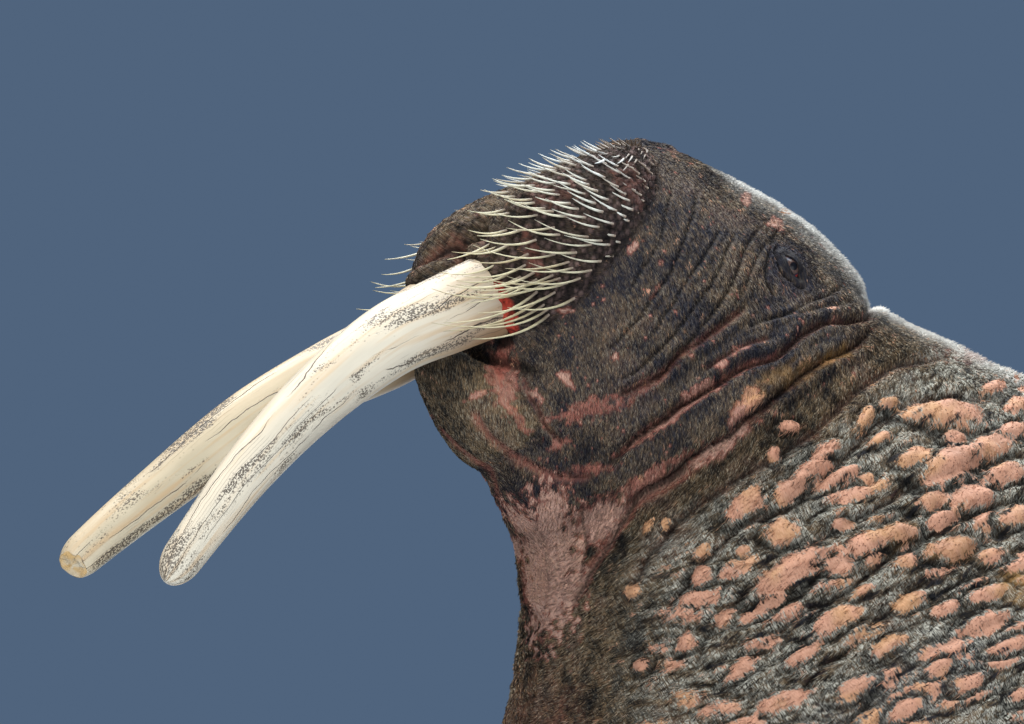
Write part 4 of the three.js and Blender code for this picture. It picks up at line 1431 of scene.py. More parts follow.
    def _lay_coat(self) -> None:
        """Works out which way the coat lies, and coordinates along and across it."""
        tiny = 0.004
        here = TRUNK.at(self.place, self.turn)
        onward = unit(TRUNK.at(self.place + tiny, self.turn) - TRUNK.at(self.place - tiny, self.turn))
        around = unit(TRUNK.at(self.place, self.turn + tiny) - here)
        around[self.turn > np.pi] *= -1
        comb = onward * (1 - 0.7 * smooth_step(8, 10, self.place))[:, None] + around
        along = TRUNK.distance_along(self.place)
        girth = self.folded * TRUNK.girth(self.place)
        lie = np.stack([(along + girth), (girth - along), 0.03 * self.points[:, 1]], -1) / math.sqrt(2)
        forward, _, down = HEAD.axes
        fixed = [
            (self.on_pad, forward + 0.8 * down),
            (self.is_part(Part.JAW), down - forward),
        ]
        for part, flipper in LIMBS.items():
            fixed.append((self.is_part(part), flipper.reach))
        for own, direction in fixed:
            comb[own] = unit(direction)
            crossed = unit(np.cross(direction, [0.3, 0.9, 0.2]))
            lie[own] = np.stack(
                [self.points[own] @ unit(direction), self.points[own] @ crossed, self.points[own, 2]], -1
            )
        comb -= (comb * self.normals).sum(1, keepdims=True) * self.normals
        self.comb = unit(comb)
        self.lie = lie

    def mark(self, tone: Tone, where: Array | slice, strength: Array) -> None:
        """Raises a tone at some points to at least a strength."""
        values = self.tones[tone]
        values[where] = np.maximum(values[where], strength)

    def wash(self, tone: Tone, strength: Array) -> None:
        """Raises a tone at every point to at least a strength."""
        self.mark(tone, slice(None), strength)

    def _close_to(self, spot: Spot) -> Array:
        """How near each point shows to a spot of the photograph, from 1 down to nothing."""
        middle, sizes = np.array(spot)
        return np.exp(-(((self.pixels - middle) / sizes) ** 2).sum(1))

    def _model(self) -> None:
        """Raises and sinks the skin, lays down its markings and paints shade in its hollows."""
        lift = np.zeros(len(self.points))
        self._fold(lift)
        self._grow_bosses(lift)
        self._wrinkle_body(lift)
        self._shape_muzzle(lift)
        self._mark_blots()
        lift += self.tones[Tone.GUM] * (3 + 5 * noise(self.points / 8, 66))
        self._mark_fields()
        self.points = self.points + lift[:, None] * self.normals
        self._open_eyes()
        self.points[:, 2] = np.maximum(self.points[:, 2], 0.6)
        self._darken_hollows()

    def _fold(self, lift: Array) -> None:
        """Sinks the creases of head and neck, with painted shade and pink along their grooves."""
        self.swayed = self.pixels + 2.4 * np.stack(
            [noise(np.c_[self.pixels / 26, np.full(len(lift), k)], 11 + k) for k in range(2)], -1
        )
        for crease in CREASES:
            where, away, share = along_route(self.swayed, np.array(crease.route, float), 4.5 * crease.width)
            fade = smooth_step(0, 0.1, share) * smooth_step(1, 0.88, share) * self.front[where]
            groove = bell(away, 0, crease.width)
            lips = bell(away, 2.3 * crease.width, 1.1 * crease.width)
            lift[where] += fade * (crease.lip * lips - crease.depth * groove)
            # Painted shade along the groove.
            self.mark(Tone.HOLLOW, where, crease.dark * fade * bell(away, 0, 0.6 * crease.width))
            self.mark(Tone.BLUSH, where, crease.pink * fade * bell(away, 0, 1.5 * crease.width))

    def _grow_bosses(self, lift: Array) -> None:
        """Raises the bosses of the photograph, and packs others around them and where it shows none."""
        ragged = 0.26 * noise(np.c_[self.pixels / 11, np.zeros(len(lift))], 21)
        ragged += 0.16 * noise(np.c_[self.pixels / 4, np.zeros(len(lift))], 22)
        covered = np.zeros(len(lift))
        for boss in BOSSES:
            shown = self.leftness & (self.front > 0)
            offset = self.swayed - np.array([boss.column, boss.row])
            where = np.flatnonzero(shown & (np.abs(offset) < 1.7 * boss.long).all(1))
            along, across = turned(offset[where, 0], offset[where, 1], boss.angle)
            size = np.hypot(along / boss.long, across / boss.short) + ragged[where]
            under = smooth_step(-0.5, 1.0, across / boss.short - 0.6 * along / boss.long)
            self._dome(lift, where, size, 4.0 + 0.34 * boss.short, 1.0, under)
            covered[where] = np.maximum(covered[where], smooth_step(1.6, 1.2, size))
        strewn = (
            smooth_step(9.2, 10.0, self.place)
            * smooth_step(16.6, 14.6, self.place)
            * smooth_step(0.02, 0.35, self.folded)
            * smooth_step(2.75, 2.2, self.folded)
            * self.on_trunk
        )
        self.tones[Tone.COBBLE] = strewn
        framed = self.leftness & (self.pixels < np.array([VIEW.width, VIEW.height]) + 16).all(1)
        below = smooth_step(*PACKED_ROWS, self.swayed @ np.array(PACKED_SLOPE))
        strewn = strewn * np.where(framed, below, 1.0)
        where = np.flatnonzero(strewn > 0.02)
        girth = self.folded[where] * TRUNK.girth(self.place[where])
        along = TRUNK.distance_along(self.place[where])
        side = np.where(self.leftness[where], 0.0, 37.5)
        away, _, _, kept = cells(np.stack([girth / 56 + side, along / 27], -1), 5)
        long, short = 19 + 14 * kept[:, 0], 9.5 + 5 * kept[:, 1]
        size = np.hypot(away[:, 0] * 56 / long, away[:, 1] * 27 / short) + ragged[where]
        pink = smooth_step(0.84, 0.70, kept[:, 2]) * (0.55 + 0.45 * kept[:, 0])
        height = (3.0 + 0.3 * short) * strewn[where] * (1 - covered[where])
        under = smooth_step(-0.5, 1.0, -away[:, 1] * 27 / short - 0.6 * away[:, 0] * 56 / long)
        self._dome(lift, where, size, height, pink * strewn[where] * (1 - covered[where]), under)

    def _dome(
        self, lift: Array, where: Array, size: Array, height: Array, pink: Array, under: Array
    ) -> None:
        """Raises a rounded lump with a moat darkened by painted shade.

        Args:
            lift: how far each point is raised, which is changed.
            where: the points around the lump.
            size: their distance from its middle, where 1 is its rim.
            height: how high it stands.
            pink: how bare it is.
            under: 1 on its lower front side, where the moat is widest and most darkened by painted shade.
        """
        lift[where] += height * smooth_step(1.25, 0.25, size)
        lift[where] -= 0.22 * height * bell(size, 1.28, 0.2)
        self.mark(Tone.BARE, where, pink * smooth_step(1.42, 0.35, size))
        # Painted shade in the moat, strongest on the lower front side.
        moat = bell(size, 1.28, 0.16 + 0.22 * under)
        self.mark(Tone.HOLLOW, where, (0.015 + 0.095 * under) * np.minimum(height, 8) * moat)

    def _wrinkle_body(self, lift: Array) -> None:
        """Valleys between the neck's rows and soft folds round the body, with painted shade in the valleys,
        and unevenness all over.
        """
        girth = self.folded * TRUNK.girth(self.place)
        along = TRUNK.distance_along(self.place)
        slow = 0.004 * self.points[:, 1]
        framed = (
            smooth_step(VIEW.width + 36, VIEW.width - 24, self.pixels[:, 0])
            * smooth_step(VIEW.height + 56, VIEW.height - 4, self.pixels[:, 1])
            * self.leftness
        )
        neck = smooth_step(8.8, 10, self.place) * smooth_step(18, 15, self.place) * self.on_trunk
        body = smooth_step(12.5, 14.5, self.place) * self.on_trunk
        for share, sizes, depth, width, seed in (
            (neck * (1 - 0.55 * framed), (150, 38), 4.0, 0.16, 31),
            (neck, (64, 15), 1.1, 0.25, 32),
            (body, (420, 92), 9.0, 0.14, 33),
            (body, (150, 34), 2.4, 0.16, 34),
            (self.on_trunk * (1 - neck) * 0.5, (60, 16), 0.9, 0.25, 35),
        ):
            value = noise(np.stack([girth / sizes[0], along / sizes[1], slow], -1), seed)
            valley = bell(value, 0, width)
            lift -= share * depth * valley
            # Painted shade in the valleys.
            self.wash(Tone.HOLLOW, 0.32 * share * valley * min(1.0, depth / 3))
        lift += body * 4 * noise(self.points / 170, 36)
        lift += 0.9 * noise(self.points / 40, 37) + 0.4 * noise(self.points / 13, 38)
        corner = self._close_to(NAPE_NOTCH)
        lift -= 16 * corner * smooth_step(1.4, 0.9, self.folded) * self.on_trunk
        throat = self._close_to(THROAT) * self.front
        stripe = noise(np.c_[self.pixels[:, 0] / 8, self.pixels[:, 1] / 90, np.zeros(len(lift))], 39)
        lift -= 1.5 * throat * bell(stripe, 0, 0.3)
        crossed = noise(np.stack([self.lie[:, 0] / 16, self.lie[:, 1] / 70, self.lie[:, 2] / 70], -1), 40)
        lift -= self.on_flipper * 1.3 * bell(crossed, 0, 0.22) * (self.points[:, 2] > 6)

    def _shape_muzzle(self, lift: Array) -> None:
        """Knobs round the whiskers' roots, the line of the mouth and the nostrils, with painted shade in the
        cleft, between the knobs, along the mouth and in the nostrils.
        """
        forward, across, down = HEAD.local(self.points).T
        cleft = smooth_step(34, 6, np.abs(across)) * smooth_step(-236, -180, down)
        cleft *= smooth_step(12, -18, down)
        cleft *= smooth_step(-60, -20, forward) * (self.front > 0)
        lift -= 26 * cleft
        # Painted shade in the cleft.
        self.wash(Tone.HOLLOW, 0.85 * cleft)
        knobs = cells(np.stack([self.place * 274 / 8.5, self.turn * 62 / 8.5], -1), 51)[1]
        rough = 1.5 + 2.2 * self._close_to(ROUGH_CROWN)
        lift += self.on_pad * rough * (smooth_step(0.62, 0.1, knobs) - 0.4)
        # Painted shade in the gaps between the knobs.
        self.wash(Tone.HOLLOW, self.on_pad * 0.7 * smooth_step(0.42, 0.66, knobs))
        mouth = smooth_step(-104, -80, forward) * smooth_step(150, 120, np.abs(across)) * (self.place < 9)
        gap = bell(down, 33, 5.5) * mouth * ~self.is_part(Part.FORE_LEFT, Part.FORE_RIGHT)
        lift -= 7 * gap
        # Painted shade along the mouth.
        self.wash(Tone.HOLLOW, 0.9 * gap)
        lift -= 9 * self._close_to(LIP_DIP) * self.front
        for side in Side:
            centre = HEAD.point(-46, side.value * 28, -318)
            splay = math.radians(28) * side.value
            lengthwise = math.cos(splay) * HEAD.axes[0] + math.sin(splay) * HEAD.axes[1]
            sideways = np.cross(-HEAD.axes[2], lengthwise)
            offset = self.points - centre
            along, beside = offset @ lengthwise, offset @ sideways
            edge = np.abs(beside) - 7.5 * np.clip(1 - (along / 23) ** 2, 0, 1)
            near = (np.linalg.norm(offset, axis=1) < 44).astype(float) * smooth_step(30, 22, np.abs(along))
            lift += near * (2.6 * bell(edge, 5, 4) - 9 * smooth_step(1.5, -4, edge))
            # Painted shade in the nostril.
            self.wash(Tone.HOLLOW, near * smooth_step(0.5, -2.5, edge))

    def _mark_blots(self) -> None:
        """Lays down the scars, flushes and stains that the photograph shows."""
        ragged = noise(np.c_[self.pixels / 7, np.zeros(len(self.points))], 61)
        ragged += 0.6 * noise(np.c_[self.pixels / 2.6, np.zeros(len(self.points))], 62)
        for blot in BLOTS:
            offset = self.swayed - np.array([blot.column, blot.row])
            reach = 1.6 * max(blot.long, blot.short)
            where = np.flatnonzero((np.abs(offset) < reach).all(1) & (self.front > 0))
            along, across = turned(offset[where, 0], offset[where, 1], blot.angle)
            size = np.hypot(along / blot.long, across / blot.short) + blot.ragged * ragged[where]
            self.mark(blot.tone, where, blot.strength * self.front[where] * smooth_step(1.15, 0.6, size))

    def _mark_fields(self) -> None:
        """Lays down the tones of whole regions: muzzle, frosted nape with painted rim light along the upper
        edge that the camera sees, flippers, and faint flushes.
        """
        turn = np.where(self.turn > 1.5 * np.pi, self.turn - TURN, self.turn)
        knobby = self.on_pad * (0.35 + 0.65 * smooth_step(-0.1, 0.7, turn) * smooth_step(3.6, 3.0, turn))
        self.tones[Tone.MUZZLE] = self._spread(knobby, 10)
        # Pale frosted hair with painted rim light, in a band along the upper edge that the camera sees,
        # weaker on the far side.
        edge = self.folded - self._crest() + 0.10 * noise(self.points / 30, 63)
        crown = smooth_step(0.34, 0.02, edge) * self.on_trunk
        soft_rim_light = 0.5 * smooth_step(0.75, 0.1, edge) * self.on_trunk
        crown = np.maximum(crown, soft_rim_light) * smooth_step(2.2, 4.2, self.place) * smooth_step(17, 12, self.place)
        crown *= 1 - 0.6 * ~self.leftness * smooth_step(0.05, 0.5, self.folded)
        self.wash(Tone.FROST, crown * (1 - 0.25 * smooth_step(8, 9, self.place)))
        dusk = (
            smooth_step(-0.7, 0.5, noise(self.points / 60, 67))
            * smooth_step(9.0, 7.2, self.place)
            * self.on_trunk
        )
        head = smooth_step(9.3, 8.2, self.place) * self.on_trunk
        self.wash(Tone.SLATE, (0.36 * head + 0.34 * dusk) * (1 - crown))
        self.wash(Tone.SLATE, 0.75 * self._spread(self.on_flipper.astype(float), 12))
        flush = smooth_step(0.1, 0.8, noise(self.points / 110, 64)) * (self.place > 9) * self.on_trunk
        self.wash(Tone.BLUSH, 0.35 * flush * (1 - self.front * self.leftness * 0.7))
        _, near, _, kept = cells(np.stack([self.place * 9.0, self.folded * 26], -1), 65)
        fleck = smooth_step(0.16, 0.05, near) * (kept[:, 0] > 0.62)
        self.wash(Tone.BLUSH, 0.95 * fleck * (self.place < 9) * self.on_trunk)
        under = smooth_step(2.4, 3.0, self.folded) * smooth_step(10, 12, self.place) * self.on_trunk
        self.wash(Tone.BLUSH, 0.45 * under)

    def _crest(self) -> Array:
        """Radians from the back to the upper edge that the photograph sees, at each point's place."""
        places = np.linspace(0, TRUNK.last, 120)
        place, turn = np.meshgrid(places, np.linspace(-0.2, 1.2, 113), indexing="ij")
        spots = VIEW.pixels(TRUNK.at(place, turn))
        middle = VIEW.pixels((TRUNK.at(places, np.zeros(120)) + TRUNK.at(places, np.full(120, np.pi))) / 2)
        onward = np.gradient(middle, axis=0)
        upward = np.stack([onward[:, 1], -onward[:, 0]], -1)
        height = ((spots - middle[:, None]) * upward[:, None]).sum(-1)
        edge = turn[np.arange(120), height.argmax(1)]
        return np.interp(self.place, places, np.abs(edge))

    def _spread(self, values: Array, rounds: int) -> Array:
        """A number that bleeds into its neighbours."""
        wide = np.repeat(values[:, None], 3, 1)
        return relaxed((wide, self.faces), rounds, np.full(len(values), 0.6))[:, 0]

    def _open_eyes(self) -> None:
        """Parts the lids over the balls, with a rolled rim, a ridge below and a crease round both, and
        paints the lids dark bluish with painted shade round them, in the slit and in the crease below.
        """
        for socket in SOCKETS:
            offset = (self.points - socket.centre) @ socket.axes.T
            near = np.flatnonzero((np.linalg.norm(offset, axis=1) < 46) & (offset[:, 2] > -4))
            along, up, out = offset[near].T
            arch = np.clip(1 - (along / socket.half_length) ** 2, 0, 1)
            edge = np.abs(up) - socket.half_height * arch * np.where(up > 0, 0.9, 1.1)
            beyond = np.clip(np.abs(along) - socket.half_length, 0, None)
            edge = np.where(edge > 0, np.hypot(edge, beyond), edge + beyond)
            ball = np.sqrt(np.clip((EYE_RADIUS + 0.4) ** 2 - along**2 - up**2, 0, None))
            lid = np.maximum(ball + 2.4, out - 3.0)
            below = smooth_step(3, -3, up)
            ridge = 1.8 * bell(edge, 5, 2.6) * (0.4 + 0.6 * below)
            crease = (1.6 + 3.2 * below) * bell(edge, 11.5, 2.2)
            target = lid * (1 - smooth_step(2, 12, edge)) + out * smooth_step(2, 12, edge)
            target += ridge - crease * smooth_step(40, 26, np.hypot(along, up))
            sunk = np.minimum(target, ball - 3.0)
            target = np.where(edge < 0.6, sunk + (target - sunk) * smooth_step(-1.0, 0.6, edge), target)
            fade = smooth_step(46, 34, np.linalg.norm(offset[near], axis=1))
            self.points[near] += ((target - out) * fade)[:, None] * socket.axes[2]
            # Dark bluish skin round the eye, partly painted shade of the brow and lids.
            self.mark(Tone.SLATE, near, fade * smooth_step(34, 14, edge))
            # Painted shade round the lids, in the slit and in the crease below.
            self.mark(Tone.HOLLOW, near, 0.62 * fade * smooth_step(20, 3, edge))
            self.mark(Tone.HOLLOW, near, smooth_step(1.4, -0.6, edge))
            self.mark(Tone.HOLLOW, near, 0.9 * below * bell(edge, 11.5, 1.6))
            for tone in (Tone.BARE, Tone.BLUSH):
                self.tones[tone][near] *= 1 - fade * smooth_step(20, 10, edge)

    def _darken_hollows(self) -> None:
        """Paints shade where the skin lies deeper than its surroundings."""
        surface = (self.points, self.faces)
        self.normals = unit(face_sums(surface))
        mean = relaxed(surface, 3, np.full(len(self.points), 0.7))
        depth = ((mean - self.points) * self.normals).sum(1)
        self.wash(Tone.HOLLOW, 0.7 * smooth_step(0.1, 1.0, depth))
        comb = self.comb - (self.comb * self.normals).sum(1, keepdims=True) * self.normals
        self.comb = unit(comb)

    def _unwrap(self) -> Array:
        """Coordinates of each corner on a flat map of the skin, each part an island of its own."""
        corners = np.concatenate([group.ravel() for group in self.faces])
        first = np.concatenate([np.repeat(group[:, 0], group.shape[1]) for group in self.faces])
        part = self.part[first]
        turn = self.turn[corners]
        turn = self.turn[first] + np.mod(turn - self.turn[first] + np.pi, TURN) - np.pi
        same = self.part[corners] == part
        place = np.where(same, self.place[corners], self.place[first])
        turn = np.where(same, turn, self.turn[first])
        across = np.clip(turn / TURN, 0, 1)
        spots = np.stack([0.01 + 0.7 * across, 0.01 + 0.98 * place / TRUNK.last], -1)
        for low, own in ((0.0, Part.PAD_LEFT), (0.11, Part.PAD_RIGHT), (0.22, Part.JAW)):
            here = part == own.value
            spots[here] = np.stack([0.73 + 0.26 * across[here], low + 0.01 + 0.09 * place[here]], -1)
        upward = self.normals[first, 2] > 0
        for row, (own, flipper) in enumerate(LIMBS.items()):
            here = part == own.value
            middle = np.array([flipper.form.wrist[0], flipper.side.value * (flipper.form.wrist[1] + 150)])
            flat = np.clip((self.points[corners[here], :2] - middle) / 900 + 0.5, 0, 1)
            column = np.where(upward[here], 0.73, 0.865)
            spots[here] = np.stack(
                [column + 0.125 * flat[:, 0], 0.34 + 0.165 * row + 0.155 * flat[:, 1]], -1
            )
        return spots

    def build(self, material: bpy.types.Material) -> bpy.types.Object:
        """Makes the skin's mesh with its markings.

        Args:
            material: the hide's finish.

        Returns:
            The piece, which stands for every node of flesh.
        """
        mesh = make_mesh("hide", (self.points, self.faces))
        for tone, values in self.tones.items():
            set_numbers(mesh, tone.value, values)
        set_numbers(mesh, "lie", self.lie)
        layer = mesh.uv_layers.new(name="OFBake")
        layer.data.foreach_set("uv", self._unwrap().astype(np.float32).ravel())
        nodes = ["head", "lower_jaw", "neck", "chest", "torso", "rump", "tail"]
        pairs = ("muzzle_pad", "fore_flipper", "hind_flipper")
        nodes += [f"{name}_{side.label}" for name in pairs for side in Side]
        return add_piece(mesh, material, nodes)


@dataclass(frozen=True)
class CoatZone:
    """A stretch of the coat that makes one piece: where it lies, how many tufts it has and their size."""

    name: str
    parts: tuple[Part, ...]
    start: float
    end: float
    tufts: int
    length: float
    width: float
    lift: float = 13.0
    slot: str = "skin"


TRUNK_ONLY = (Part.TRUNK,)
COAT_ZONES = (
    CoatZone("coat_face", TRUNK_ONLY, 0, 4.5, 36000, 4.6, 0.9, slot="muzzle"),
    CoatZone("coat_cheeks", TRUNK_ONLY, 4.5, 8, 48000, 6.2, 1.0),
    CoatZone("coat_nape", TRUNK_ONLY, 8, 10, 46000, 7.5, 1.1),
    CoatZone("coat_neck", TRUNK_ONLY, 10, 12.3, 48000, 8.5, 1.2, slot="bossed_skin"),
    CoatZone("coat_shoulders", TRUNK_ONLY, 12.3, 15.5, 46000, 10, 1.5, slot="bossed_skin"),
    CoatZone("coat_flanks", TRUNK_ONLY, 15.5, 19, 32000, 12, 2.0),
    CoatZone("coat_rump", TRUNK_ONLY, 19, 25.1, 20000, 12, 2.2),
    CoatZone("coat_lips", (Part.PAD_LEFT, Part.PAD_RIGHT, Part.JAW), 0, 1.1, 22000, 3.4, 0.8, slot="muzzle"),
    CoatZone("coat_flippers", tuple(LIMBS), -1, 99, 16000, 6, 1.3, slot="flipper"),
)


@dataclass
class Coat:
    """The short flat fur, as thin closed tufts that lie along the body."""

    hide: Hide
    sunk: float = 0.9
    patch: float = 0.003
    seed: int = 7

    def _triangles(self) -> Array:
        """The skin's faces as triangles, each from its face's first corner."""
        fans = []
        for group in self.hide.faces:
            for k in range(1, group.shape[1] - 1):
                fans.append(group[:, [0, k, k + 1]])
        return np.vstack(fans)

    def _density(self) -> Array:
        """How thickly the fur grows at each point of the skin."""
        tones = self.hide.tones
        bare = np.maximum(tones[Tone.BARE] * 0.9, tones[Tone.GUM])
        grown = (1 - bare) * (1 - 0.55 * tones[Tone.HOLLOW]) * (1 - 0.35 * tones[Tone.BLUSH])
        grown *= (1 + 0.7 * tones[Tone.FROST]) * (1 - 0.4 * tones[Tone.MUZZLE])
        for socket in SOCKETS:
            offset = (self.hide.points - socket.centre) @ socket.axes.T
            grown *= smooth_step(0.95, 1.35, np.hypot(offset[:, 0] / 21, offset[:, 1] / 11))
        grown *= smooth_step(1.5, 6, self.hide.points[:, 2])
        return np.maximum(grown, 0)

    def _roots(self, zone: CoatZone, triangles: Array, density: Array) -> tuple[Array, Array]:
        """Where the tufts of a zone stand: the corners of each one's triangle, and the shares of them."""
        draw = np.random.default_rng(self.seed + len(zone.name) + zone.tufts)
        hide = self.hide
        own = hide.is_part(*zone.parts) & (hide.place >= zone.start) & (hide.place < zone.end)
        chosen = triangles[own[triangles[:, 0]]]
        corners = hide.points[chosen]
        edges = corners[:, 1:] - corners[:, :1]
        area = np.linalg.norm(np.cross(edges[:, 0], edges[:, 1]), axis=1) / 2
        weight = np.cumsum(area * density[chosen].mean(1))
        picks = (np.arange(zone.tufts) + draw.random(zone.tufts)) / zone.tufts * weight[-1]
        picked = np.minimum(np.searchsorted(weight, picks), len(chosen) - 1)
        first, second = draw.random(zone.tufts), draw.random(zone.tufts)
        over = first + second > 1
        first[over], second[over] = 1 - first[over], 1 - second[over]
        return chosen[picked], np.stack([1 - first - second, first, second], -1)

    def _map(self, zone: CoatZone, corners: Array, shares: Array) -> Array:
        """Where each root lies on the zone's own unwrap, around the body and along it."""
        hide = self.hide
        if zone.parts == TRUNK_ONLY or Part.JAW in zone.parts:
            turn = hide.turn[corners]
            turn = turn[:, :1] + np.mod(turn - turn[:, :1] + np.pi, TURN) - np.pi
            across = np.mod((turn * shares).sum(1) / TURN, 1)
            along = ((hide.place[corners] * shares).sum(1) - zone.start) / (zone.end - zone.start)
            if zone.parts != TRUNK_ONLY:
                column = hide.part[corners[:, 0]] - Part.PAD_LEFT.value
                across = (column + across) / 3
            return np.stack([across, np.clip(along, 0, 1)], -1)
        spots = (hide.points[corners] * shares[..., None]).sum(1)
        index = hide.part[corners[:, 0]] - Part.FORE_LEFT.value
        middles = np.array([[*flipper.form.wrist, 0] for flipper in FLIPPERS]) + np.array([0, 150, 0])
        middles[:, 1] *= [flipper.side.value for flipper in FLIPPERS]
        flat = np.clip((spots - middles[index])[:, :2] / 900 + 0.5, 0, 0.99)
        upward = hide.normals[corners[:, 0], 2] > 0
        return np.stack([(upward + flat[:, 0]) / 2, (index + flat[:, 1]) / 4], -1)

    def build(self, material: bpy.types.Material) -> list[bpy.types.Object]:
        """Grows the tufts of every zone.

        Args:
            material: the coat's finish.

        Returns:
            One piece for each zone.
        """
        triangles, density = self._triangles(), self._density()
        return [self._grow(zone, material, triangles, density) for zone in COAT_ZONES]

    def _grow(
        self, zone: CoatZone, material: bpy.types.Material, triangles: Array, density: Array
    ) -> bpy.types.Object:
        """Grows one zone's tufts.

        Args:
            zone: the zone.
            material: the coat's finish.
            triangles: the skin's triangles.
            density: how thickly the fur grows at each of its points.

        Returns:
            The piece.
        """
        hide = self.hide
        draw = np.random.default_rng(self.seed * 31 + zone.tufts)
        corners, shares = self._roots(zone, triangles, density)
        count = len(corners)

        def blend(values: Array) -> Array:
            """A number of the skin's points, read at the roots."""
            weight = shares if values.ndim == 1 else shares[..., None]
            return (values[corners] * weight).sum(1)

        root, normal, comb = blend(hide.points), unit(blend(hide.normals)), unit(blend(hide.comb))
        across = unit(np.cross(normal, comb))
        frost = blend(hide.tones[Tone.FROST])
        swing = 0.34 * noise(root / 16, 71) + draw.normal(0, 0.20, count) * (1 + frost)
        heading = comb * np.cos(swing)[:, None] + across * np.sin(swing)[:, None]
        across = unit(np.cross(normal, heading))
        lift = np.radians(zone.lift + 24 * frost + draw.normal(0, 3.5, count))
        length = (zone.length + 3 * frost) * draw.uniform(0.7, 1.25, count)
        width = zone.width * draw.uniform(0.75, 1.2, count)
        foot = root - normal * self.sunk
        tip = root + heading * (length * np.cos(lift))[:, None]
        tip += normal * (length * np.sin(lift) - 0.3)[:, None]
        tufts = np.stack(
            [
                foot + across * (width * 0.5)[:, None] + heading * (length * 0.12)[:, None],
                foot - across * (width * 0.5)[:, None] + heading * (length * 0.12)[:, None],
                foot - heading * (width * 0.6)[:, None] + normal * (self.sunk + 0.25),
                tip,
            ],
            1,
        )
        tufts[..., 2] = np.maximum(tufts[..., 2], 0.8)
        shape = np.array([[0, 3, 2], [1, 2, 3], [0, 1, 3], [0, 2, 1]])
        faces = (np.arange(count)[:, None, None] * 4 + shape).reshape(-1, 3)
        mesh = make_mesh(zone.name, (tufts.reshape(-1, 3), [faces]))
        for tone, values in hide.tones.items():
            set_numbers(mesh, tone.value, np.repeat(blend(values), 4))
        set_numbers(mesh, "lie", np.repeat(blend(hide.lie), 4, axis=0))
        set_numbers(mesh, "fleck", np.repeat(draw.random(count), 4))
        place = self._map(zone, corners, shares)[:, None]
        angle = np.radians([90, 210, 330])
        rim = np.vstack([np.stack([np.cos(angle), np.sin(angle)], -1), [[0, 0]]]) * self.patch / 2
        map_points = np.clip(place, 0.002, 0.998) + rim
        layer = mesh.uv_layers.new(name="OFBake")
        layer.data.foreach_set("uv", map_points.reshape(-1, 2)[faces.ravel()].astype(np.float32).ravel())
        return add_piece(mesh, material, [])


